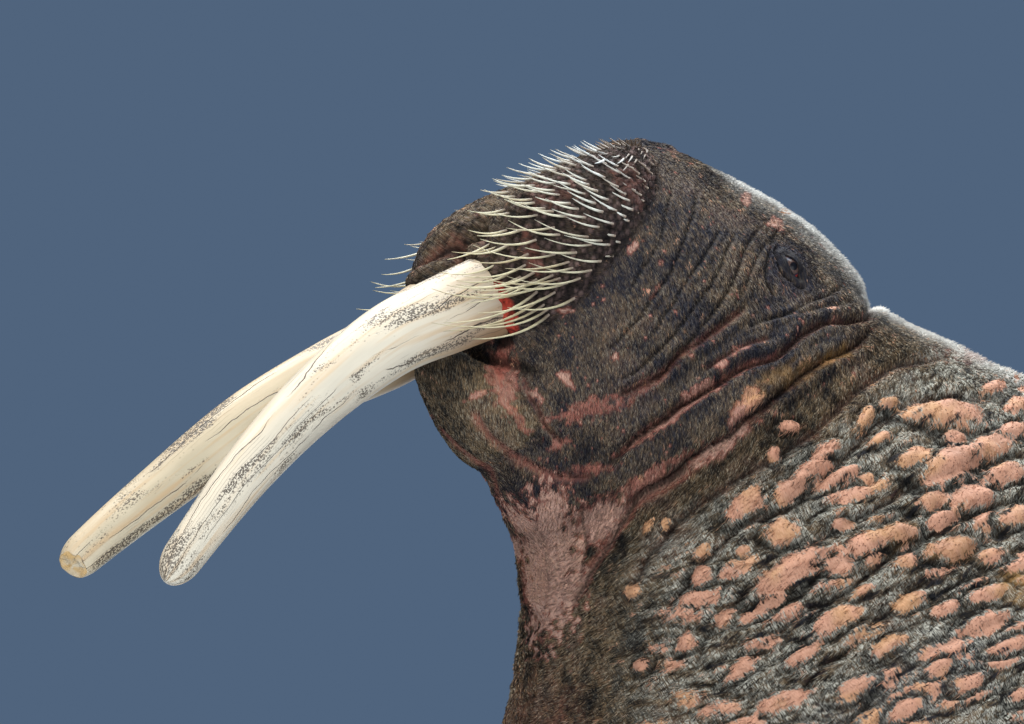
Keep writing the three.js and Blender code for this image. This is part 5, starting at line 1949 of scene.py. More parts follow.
@dataclass
class Whiskers:
    """The stiff bristles of the upper lip's pads."""

    rows: int = 16
    columns: int = 16
    inner: float = -0.5
    outer: float = 2.35
    radius: float = 1.55
    stations: int = 10
    sides: int = 6
    seed: int = 19

    def _lengths(self, share: Array, turn: Array) -> Array:
        """How long the bristles are from crown to lip, in front and at the rear."""
        steps = [0.06, 0.2, 0.35, 0.5, 0.65, 0.84]
        front = np.interp(share, steps, [13, 19, 27, 35, 46, 66])
        rear = np.interp(share, steps, [6, 9, 22, 40, 84, 138])
        near = smooth_step(1.9, 0.7, turn)
        return front * near + rear * (1 - near)

    def _tubes(self, side: Side) -> tuple[Surface, dict[str, Array]]:
        """The bristles of one pad, with the numbers that their finish reads."""
        draw = np.random.default_rng(self.seed + side.value)
        pad = PADS[side]
        row, column = np.meshgrid(np.arange(self.rows), np.arange(self.columns), indexing="ij")
        row, column = row.ravel(), column.ravel() + 0.5 * (row.ravel() % 2)
        count = len(row)
        share = 0.05 + 0.83 * (row + 0.5 + draw.uniform(-0.24, 0.24, count)) / self.rows
        column = column + draw.uniform(-0.3, 0.3, count)
        turn = self.inner + (self.outer - self.inner) * column / self.columns
        root = pad.at(share, turn, -2.6)
        tiny = 0.01
        normal = np.cross(pad.at(share + tiny, turn) - root, pad.at(share, turn + tiny) - root)
        middle = pad.at(share, 0) * 0.5 + pad.at(share, np.pi) * 0.5
        normal = unit(normal)
        normal *= np.sign(((root - middle) * normal).sum(1, keepdims=True))
        forward, across, down = HEAD.axes
        fall = np.interp(share, [0.1, 0.2, 0.35, 0.5, 0.65, 0.82], [8, 17, 34, 56, 70, 92])
        fall = np.radians(fall)[:, None]
        heading = forward * np.cos(fall) + down * np.sin(fall) + side.value * across * 0.06
        heading -= np.minimum((heading * normal).sum(1, keepdims=True), 0) * normal
        heading = unit(unit(heading) + normal * 0.30 + draw.normal(0, 0.05, (count, 3)))
        length = self._lengths(share, turn) * draw.uniform(0.82, 1.15, count)
        bend = unit(forward - 0.1 * normal - (heading @ forward)[:, None] * heading)
        curl = np.interp(share, [0.1, 0.4, 0.82], [0.05, 0.14, 0.36]) * draw.uniform(0.6, 1.3, count)
        bend *= curl[:, None]
        if side is Side.RIGHT:
            heading = unit(heading + 0.30 * down - 0.12 * normal)
        front = (turn < (0.75 if side is Side.RIGHT else -0.1)) & (share > 0.3)
        local = HEAD.local(root)
        in_lip = np.hypot(local[:, 0] - 4, np.abs(local[:, 1]) - 66) < 50
        spared = draw.random(count) < np.interp(share, [0.5, 0.66], [1, 0.55])
        kept = ~(in_lip & (local[:, 2] > -2)) & ~front & spared
        root, heading, bend, length = root[kept], heading[kept], bend[kept], length[kept]
        share, turn = share[kept], turn[kept]
        count = len(root)
        along = np.linspace(0, 1, self.stations)
        line = root[:, None] + length[:, None, None] * (
            along[None, :, None] * heading[:, None] + along[None, :, None] ** 2 * bend[:, None]
        )
        onward = unit(heading[:, None] + 2 * along[None, :, None] * bend[:, None])
        side_on = unit(np.cross(onward, across + 0.31 * down))
        upright = np.cross(onward, side_on)
        thick = self.radius * draw.uniform(0.85, 1.15, count) * smooth_step(-40, 40, length)
        radius = thick[:, None] * (1 - 0.8 * along[None] ** 1.3)
        around = np.arange(self.sides) / self.sides * TURN
        points = (
            line[:, :, None]
            + radius[:, :, None, None] * np.cos(around)[None, None, :, None] * side_on[:, :, None]
            + radius[:, :, None, None] * np.sin(around)[None, None, :, None] * upright[:, :, None]
        )
        size = self.stations * self.sides
        step, corner = np.meshgrid(np.arange(self.stations - 1), np.arange(self.sides), indexing="ij")
        following = (corner + 1) % self.sides
        quads = np.stack(
            [
                step * self.sides + corner,
                (step + 1) * self.sides + corner,
                (step + 1) * self.sides + following,
                step * self.sides + following,
            ],
            -1,
        ).reshape(-1, 4)
        caps = np.stack([np.arange(self.sides), size - 1 - np.arange(self.sides)])
        shift = (np.arange(count) * size)[:, None, None]
        faces = [(quads + shift).reshape(-1, 4)[:, ::-1], (caps + shift).reshape(-1, self.sides)]
        numbers = {
            "share": np.repeat(share, size),
            "grown": np.repeat(smooth_step(14, 30, length), size),
            "along": np.tile(np.repeat(along, self.sides), count),
            "fleck": np.repeat(draw.random(count), size),
        }
        return (points.reshape(-1, 3), faces), numbers

    def build(self, material: bpy.types.Material) -> list[bpy.types.Object]:
        """Makes both pads' bristles, one piece a side."""
        pieces = []
        for side in Side:
            surface, numbers = self._tubes(side)
            mesh = make_mesh(f"whiskers_{side.label}", surface)
            for name, values in numbers.items():
                set_numbers(mesh, name, values)
            pieces.append(add_piece(mesh, material, []))
        return pieces


@dataclass
class Tusk:
    """A long ivory tusk, slightly fluted, with a worn or broken tip."""

    form: TuskForm
    sides: int = 72
    steps: int = 150

    def _line(self, share: Array) -> tuple[Array, Array]:
        """The tusk's middle line and its onward direction."""
        return even_curve(self.form.spine, share)

    def build(self, material: bpy.types.Material) -> bpy.types.Object:
        """Makes the tusk.

        Args:
            material: the ivory's finish.

        Returns:
            The piece.
        """
        form = self.form
        share = np.concatenate([np.linspace(0, 0.93, self.steps), np.linspace(0.932, 0.9995, 24)])
        centre, onward = self._line(share)
        wide = unit(HEAD.axes[1] - (onward @ HEAD.axes[1])[:, None] * onward)
        thick = np.cross(onward, wide)
        shaft = 1 - 0.54 * share**1.1
        closing = np.sqrt(np.clip(1 - np.clip((share - 0.94) / 0.0605, 0, 1) ** 2, 0.0004, 1))
        turn = np.arange(self.sides) / self.sides * TURN
        length = np.linalg.norm(np.diff(centre, axis=0), axis=1).sum()
        sign = form.side.value
        angle, along = np.broadcast_arrays(turn[None], share[:, None])
        ripple = np.stack([1.6 * np.cos(angle), 1.6 * np.sin(angle), along * 5 + 40 * sign], -1)
        ripple = ripple.reshape(-1, 3)
        flutes = np.stack([5.2 * np.cos(angle), 5.2 * np.sin(angle), along * 2.2], -1).reshape(-1, 3)
        wave = 0.018 * noise(ripple, 81) + 0.011 * noise(flutes, 82)
        size = (shaft * closing)[:, None] * (1 + wave.reshape(angle.shape))
        rings = (
            centre[:, None]
            + (size * form.breadth * np.cos(turn))[..., None] * wide[:, None]
            + (size * form.depth * np.sin(turn))[..., None] * thick[:, None]
        )
        cut = np.zeros(rings.shape[:2])
        if form.broken:
            rings, cut = self._break_tip(rings, onward)
        mesh = make_mesh(f"ivory_{form.side.label}", loft(rings))
        radial = np.stack([np.cos(angle) * form.breadth, np.sin(angle) * form.depth], -1) * shaft[
            :, None, None
        ]
        grain = np.concatenate([radial, (along * length + 700 * (sign + 1))[..., None]], -1)
        values = {"grain": grain.reshape(-1, 3), "share": along.reshape(-1), "cut": cut.reshape(-1)}
        outward = thick[:, None] * np.sin(turn)[None, :, None] + wide[:, None] * np.cos(turn)[None, :, None]
        values["upper"] = outward[..., 2].reshape(-1)
        for name, numbers in values.items():
            ends = numbers[: self.sides].mean(0), numbers[-self.sides :].mean(0)
            set_numbers(mesh, name, np.concatenate([numbers, np.array(ends)]))
        return add_piece(mesh, material, [f"tusk_{form.side.label}"])

    def _break_tip(self, rings: Array, onward: Array) -> tuple[Array, Array]:
        """Cuts the tip off on a slant with a chipped rim.

        Args:
            rings: the tusk's points.
            onward: its direction at each ring.

        Returns:
            The cut points, and how far each one lies inside the cut.
        """
        middle, direction = self._line(np.array([0.978]))
        facet = unit(direction[0] - 0.55 * VIEW.look + 0.25 * VIEW.rightward)
        chips = 3.0 * noise(rings.reshape(-1, 3) / 9, 83).reshape(rings.shape[:2])
        beyond = (rings - middle[0]) @ facet + chips
        shift = np.maximum(beyond, 0) / np.maximum(onward @ facet, 0.3)[:, None]
        return rings - shift[..., None] * onward[:, None], smooth_step(-1.5, 2.5, beyond)


@dataclass
class Eyes:
    """The eyeballs."""

    rows: int = 48
    sides: int = 64

    def build(self, material: bpy.types.Material) -> list[bpy.types.Object]:
        """Makes both balls, each with its own frame for the iris."""
        pieces = []
        along, around = net(0.02, np.pi - 0.02, self.rows, self.sides)
        shape = np.stack([np.sin(along) * np.cos(around), np.sin(along) * np.sin(around), np.cos(along)], -1)
        for socket in SOCKETS:
            bulge = 1 + 0.045 * smooth_step(0.8, 1.0, shape[..., 2:])
            surface = loft((shape * bulge * EYE_RADIUS) @ socket.axes + socket.centre)
            mesh = make_mesh(f"eyeball_{socket.side.label}", surface)
            gaze = shape.reshape(-1, 3)
            set_numbers(mesh, "gaze", np.vstack([gaze, [[0, 0, 1], [0, 0, -1]]]))
            pieces.append(add_piece(mesh, material, [f"eye_{socket.side.label}"]))
        return pieces


# Finishes.

Inputs = dict[int | str, object]
Socket = bpy.types.NodeSocket
Colour = tuple[float, float, float]


class Recipe:
    """A material made of nodes."""

    def __init__(self, name: str) -> None:
        """Starts an empty material."""
        self.material = bpy.data.materials.new(name)
        self.material.use_nodes = True
        self.tree = self.material.node_tree
        self.tree.nodes.clear()

    def add(self, kind: str, inputs: Inputs, **settings: object) -> bpy.types.Node:
        """Adds a node.

        Args:
            kind: the node's type, without its prefix.
            inputs: what goes in, as values or as sockets of other nodes.
            settings: the node's own settings.

        Returns:
            The node.
        """
        node = self.tree.nodes.new(f"ShaderNode{kind}")
        for name, value in settings.items():
            setattr(node, name, value)
        for name, value in inputs.items():
            if isinstance(value, bpy.types.NodeSocket):
                self.tree.links.new(value, node.inputs[name])
            elif isinstance(value, tuple) and len(value) == 3 and node.inputs[name].type == "RGBA":
                node.inputs[name].default_value = (*value, 1)
            else:
                node.inputs[name].default_value = value
        return node

    def number(self, name: str) -> Socket:
        """A number kept at the mesh's points."""
        return self.add("Attribute", {}, attribute_name=name).outputs["Fac"]

    def vector(self, name: str) -> Socket:
        """A vector kept at the mesh's points."""
        return self.add("Attribute", {}, attribute_name=name).outputs["Vector"]

    def place(self) -> Socket:
        """The place on the object, in metres."""
        return self.add("TexCoord", {}).outputs["Object"]

    def scaled(self, vector: Socket, scale: Colour, shift: Colour = (0, 0, 0)) -> Socket:
        """A vector stretched along its own axes."""
        inputs = {"Vector": vector, "Scale": scale, "Location": shift}
        return self.add("Mapping", inputs).outputs["Vector"]

    def swung(self, vector: Socket, degrees: float) -> Socket:
        """A vector turned about its third axis."""
        inputs = {"Vector": vector, "Rotation": (0.0, 0.0, math.radians(degrees))}
        return self.add("Mapping", inputs).outputs["Vector"]

    def noise(self, vector: Socket, scale: float, detail: float = 2.0, rough: float = 0.5) -> Socket:
        """Noise from 0 to 1."""
        inputs = {"Vector": vector, "Scale": scale, "Detail": detail, "Roughness": rough}
        return self.add("TexNoise", inputs).outputs["Fac"]

    def spots(self, vector: Socket, scale: float, feature: str = "F1", random: float = 1.0) -> Socket:
        """Distances to strewn spots, or to the borders between their cells."""
        inputs = {"Vector": vector, "Scale": scale, "Randomness": random}
        return self.add("TexVoronoi", inputs, feature=feature).outputs["Distance"]

    def math(self, operation: str, first: Socket | float, second: Socket | float = 0.0) -> Socket:
        """A sum, product or other operation on two numbers."""
        return self.add("Math", {0: first, 1: second}, operation=operation).outputs[0]

    def times(self, *values: Socket | float) -> Socket:
        """The product of several numbers."""
        product = values[0]
        for value in values[1:]:
            product = self.math("MULTIPLY", product, value)
        return product

    def plus(self, *values: Socket | float) -> Socket:
        """The sum of several numbers."""
        total = values[0]
        for value in values[1:]:
            total = self.math("ADD", total, value)
        return total

    def minus(self, first: Socket | float, second: Socket | float) -> Socket:
        """The difference of two numbers."""
        return self.math("SUBTRACT", first, second)

    def step(self, value: Socket, low: float, high: float, least: float = 0.0, most: float = 1.0) -> Socket:
        """A number that goes smoothly from least at low to most at high."""
        inputs = {"Value": value, "From Min": low, "From Max": high, "To Min": least, "To Max": most}
        return self.add("MapRange", inputs, interpolation_type="SMOOTHSTEP").outputs["Result"]

    def mix(self, share: Socket | float, first: Socket | Colour, second: Socket | Colour) -> Socket:
        """A colour between two others."""
        node = self.add("Mix", {0: share, 6: first, 7: second}, data_type="RGBA")
        return node.outputs[2]

    def shade(self, colour: Socket | Colour, factor: Socket | float) -> Socket:
        """A colour made darker or lighter by a factor."""
        node = self.add("VectorMath", {0: colour, 3: factor}, operation="SCALE")
        return node.outputs["Vector"]

    def bump(
        self, height: Socket, distance: float, strength: float = 1.0, normal: Socket | None = None
    ) -> Socket:
        """A normal for a relief of some depth in metres."""
        inputs: Inputs = {"Height": height, "Distance": distance, "Strength": strength}
        if normal is not None:
            inputs["Normal"] = normal
        return self.add("Bump", inputs).outputs["Normal"]

    def finish(self, inputs: Inputs) -> bpy.types.Material:
        """Ends the material in a surface.

        Args:
            inputs: what goes into the surface shader.

        Returns:
            The material.
        """
        surface = self.add("BsdfPrincipled", inputs)
        self.add("OutputMaterial", {"Surface": surface.outputs["BSDF"]})
        return self.material


@dataclass(frozen=True)
class Grain:
    """The patterns that hide and coat are mixed from, each a number from 0 up."""

    streak: Socket
    fine: Socket
    rows: Socket
    broad: Socket
    clump: Socket
    knobs: Socket
    pores: Socket

    @classmethod
    def of(cls, make: Recipe) -> "Grain":
        """The patterns in a new material."""
        lie, place = make.vector("lie"), make.place()
        return cls(
            streak=make.noise(make.scaled(lie, (0.10, 0.62, 0.1)), 1.0, 3.0, 0.62),
            fine=make.noise(make.scaled(lie, (0.16, 1.5, 0.1), (31, 7, 3)), 1.0, 2.0, 0.6),
            rows=make.noise(make.scaled(make.swung(lie, -45.0), (0.035, 0.115, 0.05)), 1.0, 3.0, 0.55),
            broad=make.noise(place, 14.0, 3.0, 0.55),
            clump=make.noise(place, 52.0, 2.0, 0.5),
            knobs=make.spots(place, 118.0, random=0.75),
            pores=make.spots(place, 300.0),
        )


@dataclass(frozen=True)
class HideFinish:
    """The tones of hide and coat in linear light, and how they shine."""

    name: str
    tufted: bool
    dark: Colour = (0.0065, 0.0060, 0.0068)
    plum: Colour = (0.042, 0.022, 0.024)
    olive: Colour = (0.125, 0.085, 0.046)
    cream: Colour = (0.40, 0.36, 0.27)
    muzzle: Colour = (0.040, 0.026, 0.024)
    # Bluish dark skin colour, which round the eyes is also painted shade.
    slate: Colour = (0.016, 0.018, 0.032)
    blush: Colour = (0.42, 0.145, 0.105)
    buff: Colour = (0.62, 0.37, 0.285)
    gum: Colour = (0.42, 0.050, 0.030)
    bare: Colour = (0.50, 0.255, 0.165)
    amber: Colour = (0.50, 0.275, 0.130)
    pore: Colour = (0.16, 0.070, 0.050)
    # Pale frosted hair, which also paints rim light.
    frost: Colour = (0.72, 0.71, 0.66)
    grey: Colour = (0.47, 0.46, 0.39)
    ink: Colour = (0.010, 0.012, 0.017)
    stain: Colour = (0.30, 0.165, 0.050)

    def build(self) -> bpy.types.Material:
        """Makes the material."""
        make = Recipe(self.name)
        tone = {each: make.number(each.value) for each in Tone}
        grain = Grain.of(make)
        fleck = make.number("fleck") if self.tufted else None
        colour = self._fur(make, tone, grain, fleck)
        colour = self._weathered(make, tone, grain, colour)
        colour = self._flushed(make, tone, grain, colour)
        naked = self._naked(make, tone, grain, fleck)
        colour = make.mix(make.times(naked, 0.92), colour, self._skin(make, grain))
        stained = make.times(tone[Tone.STAIN], make.step(grain.clump, 0.35, 0.6, 0.35, 0.8))
        colour = make.mix(stained, colour, self.stain)
        # Painted shade: the marked creases, moats and hollows are darkened, less over bare skin.
        hollow = make.times(tone[Tone.HOLLOW], make.step(naked, 0.0, 1.0, 1.0, 0.35))
        colour = make.shade(colour, make.step(hollow, 0.0, 1.0, 1.0, 0.08))
        rough = make.minus(0.82, make.plus(make.times(naked, 0.2), make.times(tone[Tone.SLATE], 0.15)))
        rough = make.minus(rough, make.times(tone[Tone.GUM], 0.3))
        inputs: Inputs = {"Base Color": colour, "Roughness": rough, "Specular IOR Level": 0.14}
        if not self.tufted:
            inputs["Normal"] = self._relief(make, tone, grain, naked)
        return make.finish(inputs)

    def _fur(self, make: Recipe, tone: dict[Tone, Socket], grain: Grain, fleck: Socket | None) -> Socket:
        """Dark and olive hair with cream ends, lighter or darker from tuft to tuft."""
        patchy = make.times(grain.clump, 0.35)
        furry = make.plus(make.times(grain.streak, 0.5), make.times(grain.broad, 0.35), patchy, -0.1)
        colour = make.mix(make.step(furry, 0.36, 0.62), self.dark, self.olive)
        colour = make.mix(make.times(make.step(grain.broad, 0.5, 0.72), 0.5), colour, self.plum)
        if fleck is None:
            light = make.step(grain.broad, 0.3, 0.6, 0.35, 1.0)
            light = make.times(make.step(grain.fine, 0.50, 0.72), light)
        else:
            colour = make.shade(colour, make.step(fleck, 0.0, 1.0, 0.15, 2.3))
            light = make.times(make.step(fleck, 0.78, 0.96), make.step(grain.clump, 0.3, 0.62, 0.25, 1.2))
        colour = make.mix(make.times(light, 0.6), colour, self.cream)
        uneven = make.step(make.plus(grain.broad, make.times(grain.streak, 0.6)), 0.6, 1.0, 0.72, 1.3)
        colour = make.shade(colour, uneven)
        pale = make.plus(make.step(grain.fine, 0.4, 0.6), light)
        hoary = make.times(tone[Tone.COBBLE], make.step(grain.rows, 0.37, 0.55), pale)
        colour = make.mix(make.times(hoary, 0.9), colour, self.grey)
        inky = make.times(tone[Tone.COBBLE], make.step(grain.rows, 0.42, 0.32))
        return make.mix(make.times(inky, 0.85), colour, self.ink)

    def _weathered(self, make: Recipe, tone: dict[Tone, Socket], grain: Grain, colour: Socket) -> Socket:
        """The fur with its frosted nape and painted rim light, bluish stretches with painted shade round the
        eyes, and brown knobby muzzle with painted highlights and shade.
        """
        # Pale frosted hair with painted rim light.
        frost_and_rim_grain = make.plus(make.times(grain.fine, 0.7), make.times(grain.clump, 0.4), 0.25)
        frost_and_rim_share = make.times(tone[Tone.FROST], frost_and_rim_grain)
        colour = make.mix(make.step(frost_and_rim_share, 0.12, 0.8), colour, self.frost)
        # Bluish skin, with painted shade round the eyes.
        bluish = make.times(tone[Tone.SLATE], make.step(grain.streak, 0.25, 0.7, 1.0, 0.6))
        colour = make.mix(bluish, colour, self.slate)
        brown = make.mix(make.step(grain.clump, 0.35, 0.7), self.muzzle, make.shade(self.muzzle, 2.6))
        # Painted highlights on the knobs' tops and painted shade in the gaps between them.
        brown = make.shade(brown, make.step(grain.knobs, 0.25, 0.62, 1.5, 0.25))
        return make.mix(make.times(tone[Tone.MUZZLE], 0.8), colour, brown)

    def _flushed(self, make: Recipe, tone: dict[Tone, Socket], grain: Grain, colour: Socket) -> Socket:
        """The fur with skin that shows through it pink, and the red gum."""
        flush = make.plus(tone[Tone.BLUSH], make.times(make.minus(grain.clump, 0.5), 0.5))
        hairs = make.plus(make.times(grain.streak, 0.55), make.times(grain.fine, 0.45))
        flush = make.times(make.step(flush, 0.12, 0.9), make.step(hairs, 0.42, 0.62, 1.0, 0.35))
        rosy = make.mix(make.step(tone[Tone.BLUSH], 0.6, 0.95), self.blush, self.buff)
        rosy = make.shade(rosy, make.step(grain.streak, 0.3, 0.7, 0.55, 1.25))
        colour = make.mix(make.times(flush, 0.9), colour, rosy)
        return make.mix(make.step(tone[Tone.GUM], 0.15, 0.8), colour, self.gum)

    def _naked(self, make: Recipe, tone: dict[Tone, Socket], grain: Grain, fleck: Socket | None) -> Socket:
        """How bare the hide is, with a ragged rim where hair lies over it."""
        clumps = make.times(make.minus(grain.clump, 0.5), 1.0)
        ragged = make.plus(clumps, make.times(make.minus(grain.streak, 0.5), 1.5))
        ragged = make.plus(ragged, make.times(make.minus(grain.rows, 0.5), 1.5))
        if fleck is not None:
            ragged = make.plus(ragged, make.times(make.minus(fleck, 0.5), 0.55))
        return make.step(make.plus(tone[Tone.BARE], ragged), 0.42, 0.72)

    def _skin(self, make: Recipe, grain: Grain) -> Socket:
        """The bare skin: pink to amber, with dark pores in places."""
        skin = make.mix(make.step(grain.broad, 0.48, 0.66, 0.0, 0.8), self.bare, self.amber)
        skin = make.shade(skin, make.plus(make.times(grain.clump, 0.55), make.times(grain.fine, 0.5), 0.42))
        pitted = make.times(make.step(grain.pores, 0.34, 0.1), make.step(grain.clump, 0.42, 0.62))
        return make.mix(make.times(pitted, 0.8), skin, self.pore)

    def _relief(self, make: Recipe, tone: dict[Tone, Socket], grain: Grain, naked: Socket) -> Socket:
        """The small relief: knobs on the muzzle, combed hair, pits in bare skin, and fine cracks."""
        combed = make.plus(make.times(grain.streak, 0.6), make.times(grain.fine, 0.55))
        hair = make.times(make.minus(1.0, naked), combed)
        pits = make.times(naked, make.step(grain.pores, 0.05, 0.35))
        lumps = make.times(tone[Tone.MUZZLE], make.step(grain.knobs, 0.7, 0.1))
        relief = make.bump(lumps, 0.004, 0.9)
        relief = make.bump(make.plus(hair, make.times(pits, 0.5)), 0.0018, 0.9, relief)
        cracks = make.spots(make.place(), 430.0, "DISTANCE_TO_EDGE")
        return make.bump(cracks, 0.0009, 0.4, relief)


@dataclass(frozen=True)
class WhiskerFinish:
    """Pale translucent bristles: whitish above, creamy below."""

    name: str = "bristle"
    high: Colour = (0.66, 0.69, 0.66)
    low: Colour = (0.60, 0.54, 0.34)
    base: Colour = (0.20, 0.15, 0.11)
    old: Colour = (0.36, 0.26, 0.13)

    def build(self) -> bpy.types.Material:
        """Makes the material."""
        make = Recipe(self.name)
        fleck, along = make.number("fleck"), make.number("along")
        colour = make.mix(make.step(make.number("share"), 0.3, 0.75), self.high, self.low)
        colour = make.mix(make.times(make.step(fleck, 0.6, 1.0), 0.55), colour, self.old)
        colour = make.mix(make.step(make.number("grown"), 1.0, 0.0), colour, self.base)
        banded = make.noise(make.place(), 90.0, 2.0)
        colour = make.shade(colour, make.step(banded, 0.3, 0.7, 0.82, 1.08))
        colour = make.mix(make.step(along, 0.3, 0.0), colour, self.base)
        return make.finish({"Base Color": colour, "Roughness": 0.36, "Specular IOR Level": 0.5, "IOR": 1.54})


@dataclass(frozen=True)
class IvoryFinish:
    """Old ivory: lengthwise cracks, brown speckles, and stains by the root and the broken tip."""

    name: str = "old_ivory"
    pale: Colour = (0.66, 0.60, 0.475)
    warm: Colour = (0.58, 0.43, 0.265)
    grey: Colour = (0.55, 0.51, 0.41)
    speck: Colour = (0.060, 0.045, 0.032)
    crack: Colour = (0.050, 0.036, 0.026)
    rust: Colour = (0.34, 0.16, 0.05)
    caramel: Colour = (0.48, 0.31, 0.12)
    lines: float = 9.0

    def build(self) -> bpy.types.Material:
        """Makes the material."""
        make = Recipe(self.name)
        grain = make.vector("grain")
        share, upper, cut = (make.number(name) for name in ("share", "upper", "cut"))
        parts = make.add("SeparateXYZ", {"Vector": grain})
        turn = make.math("ARCTAN2", parts.outputs["Y"], parts.outputs["X"])
        sway = make.noise(make.scaled(grain, (0.012, 0.012, 0.006)), 1.0, 2.0)
        jag = make.noise(make.scaled(grain, (0.05, 0.05, 0.05)), 1.0, 3.0)
        course = make.plus(make.times(turn, self.lines / TURN), make.times(sway, 2.4), make.times(jag, 0.30))
        off_line = make.math("ABSOLUTE", make.minus(make.math("FRACT", course), 0.5))
        course = make.plus(make.times(turn, 41.0 / TURN), make.times(sway, 5.0), make.times(jag, 0.7))
        off_hair = make.math("ABSOLUTE", make.minus(make.math("FRACT", course), 0.5))
        cloud = make.noise(make.scaled(grain, (0.022, 0.022, 0.006)), 1.0, 3.0)
        streaky = make.noise(make.scaled(grain, (0.15, 0.15, 0.005)), 1.0, 3.0)
        colour = make.mix(make.step(cloud, 0.35, 0.65), self.pale, self.grey)
        colour = make.mix(make.times(make.step(streaky, 0.45, 0.70), 0.7), colour, self.warm)
        colour = make.mix(make.times(make.step(upper, 0.25, 0.95), 0.42), colour, self.warm)
        root = make.step(share, 0.30, 0.08)
        rusty = make.times(root, make.step(upper, 0.1, -0.7, 0.25, 0.8))
        colour = make.mix(rusty, colour, make.shade(self.rust, 0.7))
        dots = make.spots(make.scaled(grain, (0.24, 0.24, 0.16)), 1.0)
        small = make.spots(make.scaled(grain, (0.6, 0.6, 0.38), (5, 1, 9)), 1.0)
        patch = make.noise(make.scaled(grain, (0.042, 0.042, 0.0085), (0, 4, 1)), 1.0, 3.0)
        dense = make.step(patch, 0.50, 0.62)
        specks = make.plus(
            make.times(make.step(dots, 0.28, 0.15), make.step(patch, 0.46, 0.6)),
            make.times(make.step(make.minus(small, make.times(dense, 0.3)), 0.38, 0.12), dense),
        )
        colour = make.mix(make.times(make.math("MINIMUM", specks, 1.0), 0.88), colour, self.speck)
        broken = make.noise(make.scaled(grain, (0.03, 0.03, 0.009), (7, 2, 5)), 1.0, 3.0)
        thin = make.times(make.step(off_hair, 0.10, 0.0), make.step(broken, 0.56, 0.64), 0.6)
        colour = make.mix(thin, colour, self.crack)
        split = make.times(make.step(off_line, 0.030, 0.006), make.step(broken, 0.46, 0.56))
        colour = make.mix(split, colour, self.crack)
        rim = make.times(make.step(cut, 0.0, 0.35), make.step(cut, 1.0, 0.5))
        stub = make.mix(make.step(jag, 0.35, 0.7), self.caramel, make.shade(self.pale, 0.8))
        colour = make.mix(make.step(cut, 0.2, 0.6), colour, stub)
        colour = make.mix(make.times(rim, make.step(jag, 0.4, 0.55), 0.9), colour, self.crack)
        height = make.plus(make.times(split, -1.0), make.times(make.math("MINIMUM", specks, 1.0), -0.25))
        height = make.plus(height, make.times(streaky, 0.5))
        inputs: Inputs = {
            "Base Color": colour,
            "Roughness": make.step(streaky, 0.3, 0.7, 0.36, 0.54),
            "Specular IOR Level": 0.5,
            "Normal": make.bump(height, 0.0011, 0.8),
        }
        return make.finish(inputs)


STAINED_IVORY = IvoryFinish(
    name="stained_ivory", pale=(0.60, 0.52, 0.37), warm=(0.50, 0.34, 0.18), grey=(0.46, 0.40, 0.28)
)


@dataclass(frozen=True)
class EyeFinish:
    """A dark wet eye with a brown iris and a reddish white."""

    name: str = "wet_eye"
    pupil: Colour = (0.004, 0.004, 0.006)
    iris: Colour = (0.050, 0.030, 0.024)
    rim: Colour = (0.020, 0.024, 0.046)
    white: Colour = (0.09, 0.050, 0.050)
    corner: Colour = (0.36, 0.040, 0.030)

    def build(self) -> bpy.types.Material:
        """Makes the material."""
        make = Recipe(self.name)
        gaze = make.vector("gaze")
        parts = make.add("SeparateXYZ", {"Vector": gaze})
        along, out = parts.outputs["X"], parts.outputs["Z"]
        rays = make.noise(gaze, 22.0, 3.0)
        colour = make.mix(make.step(rays, 0.35, 0.7), self.iris, make.shade(self.iris, 2.1))
        colour = make.mix(make.step(out, 0.955, 0.975), colour, self.pupil)
        colour = make.mix(make.step(out, 0.89, 0.86), colour, self.rim)
        white = make.shade(self.white, make.step(rays, 0.3, 0.7, 0.6, 1.3))
        colour = make.mix(make.step(out, 0.82, 0.70), colour, white)
        colour = make.mix(make.step(along, -0.50, -0.66), colour, self.corner)
        inputs: Inputs = {
            "Base Color": colour,
            "Roughness": make.step(rays, 0.0, 1.0, 0.2, 0.3),
            "Specular IOR Level": 0.25,
            "Coat Weight": 0.08,
            "Coat Roughness": 0.2,
        }
        return make.finish(inputs)


@dataclass(frozen=True)
class NailFinish:
    """Small dark horn nails, streaked with paler horn."""

    name: str = "horn"
    dark: Colour = (0.035, 0.028, 0.024)
    pale: Colour = (0.16, 0.13, 0.10)

    def build(self) -> bpy.types.Material:
        """Makes the material."""
        make = Recipe(self.name)
        lines = make.noise(make.place(), 160.0, 3.0)
        colour = make.mix(make.step(lines, 0.3, 0.75), self.dark, self.pale)
        relief = make.bump(lines, 0.0008)
        return make.finish({"Base Color": colour, "Roughness": 0.45, "Normal": relief})


@dataclass(frozen=True)
class FloorFinish:
    """A pale matt studio floor with a hint of grain."""

    name: str = "studio_floor"
    colour: Colour = (0.55, 0.57, 0.60)

    def build(self) -> bpy.types.Material:
        """Makes the material."""
        make = Recipe(self.name)
        grain = make.noise(make.place(), 3.0, 4.0)
        colour = make.shade(self.colour, make.step(grain, 0.3, 0.7, 0.96, 1.04))
        return make.finish({"Base Color": colour, "Roughness": 0.7, "Normal": make.bump(grain, 0.002, 0.3)})


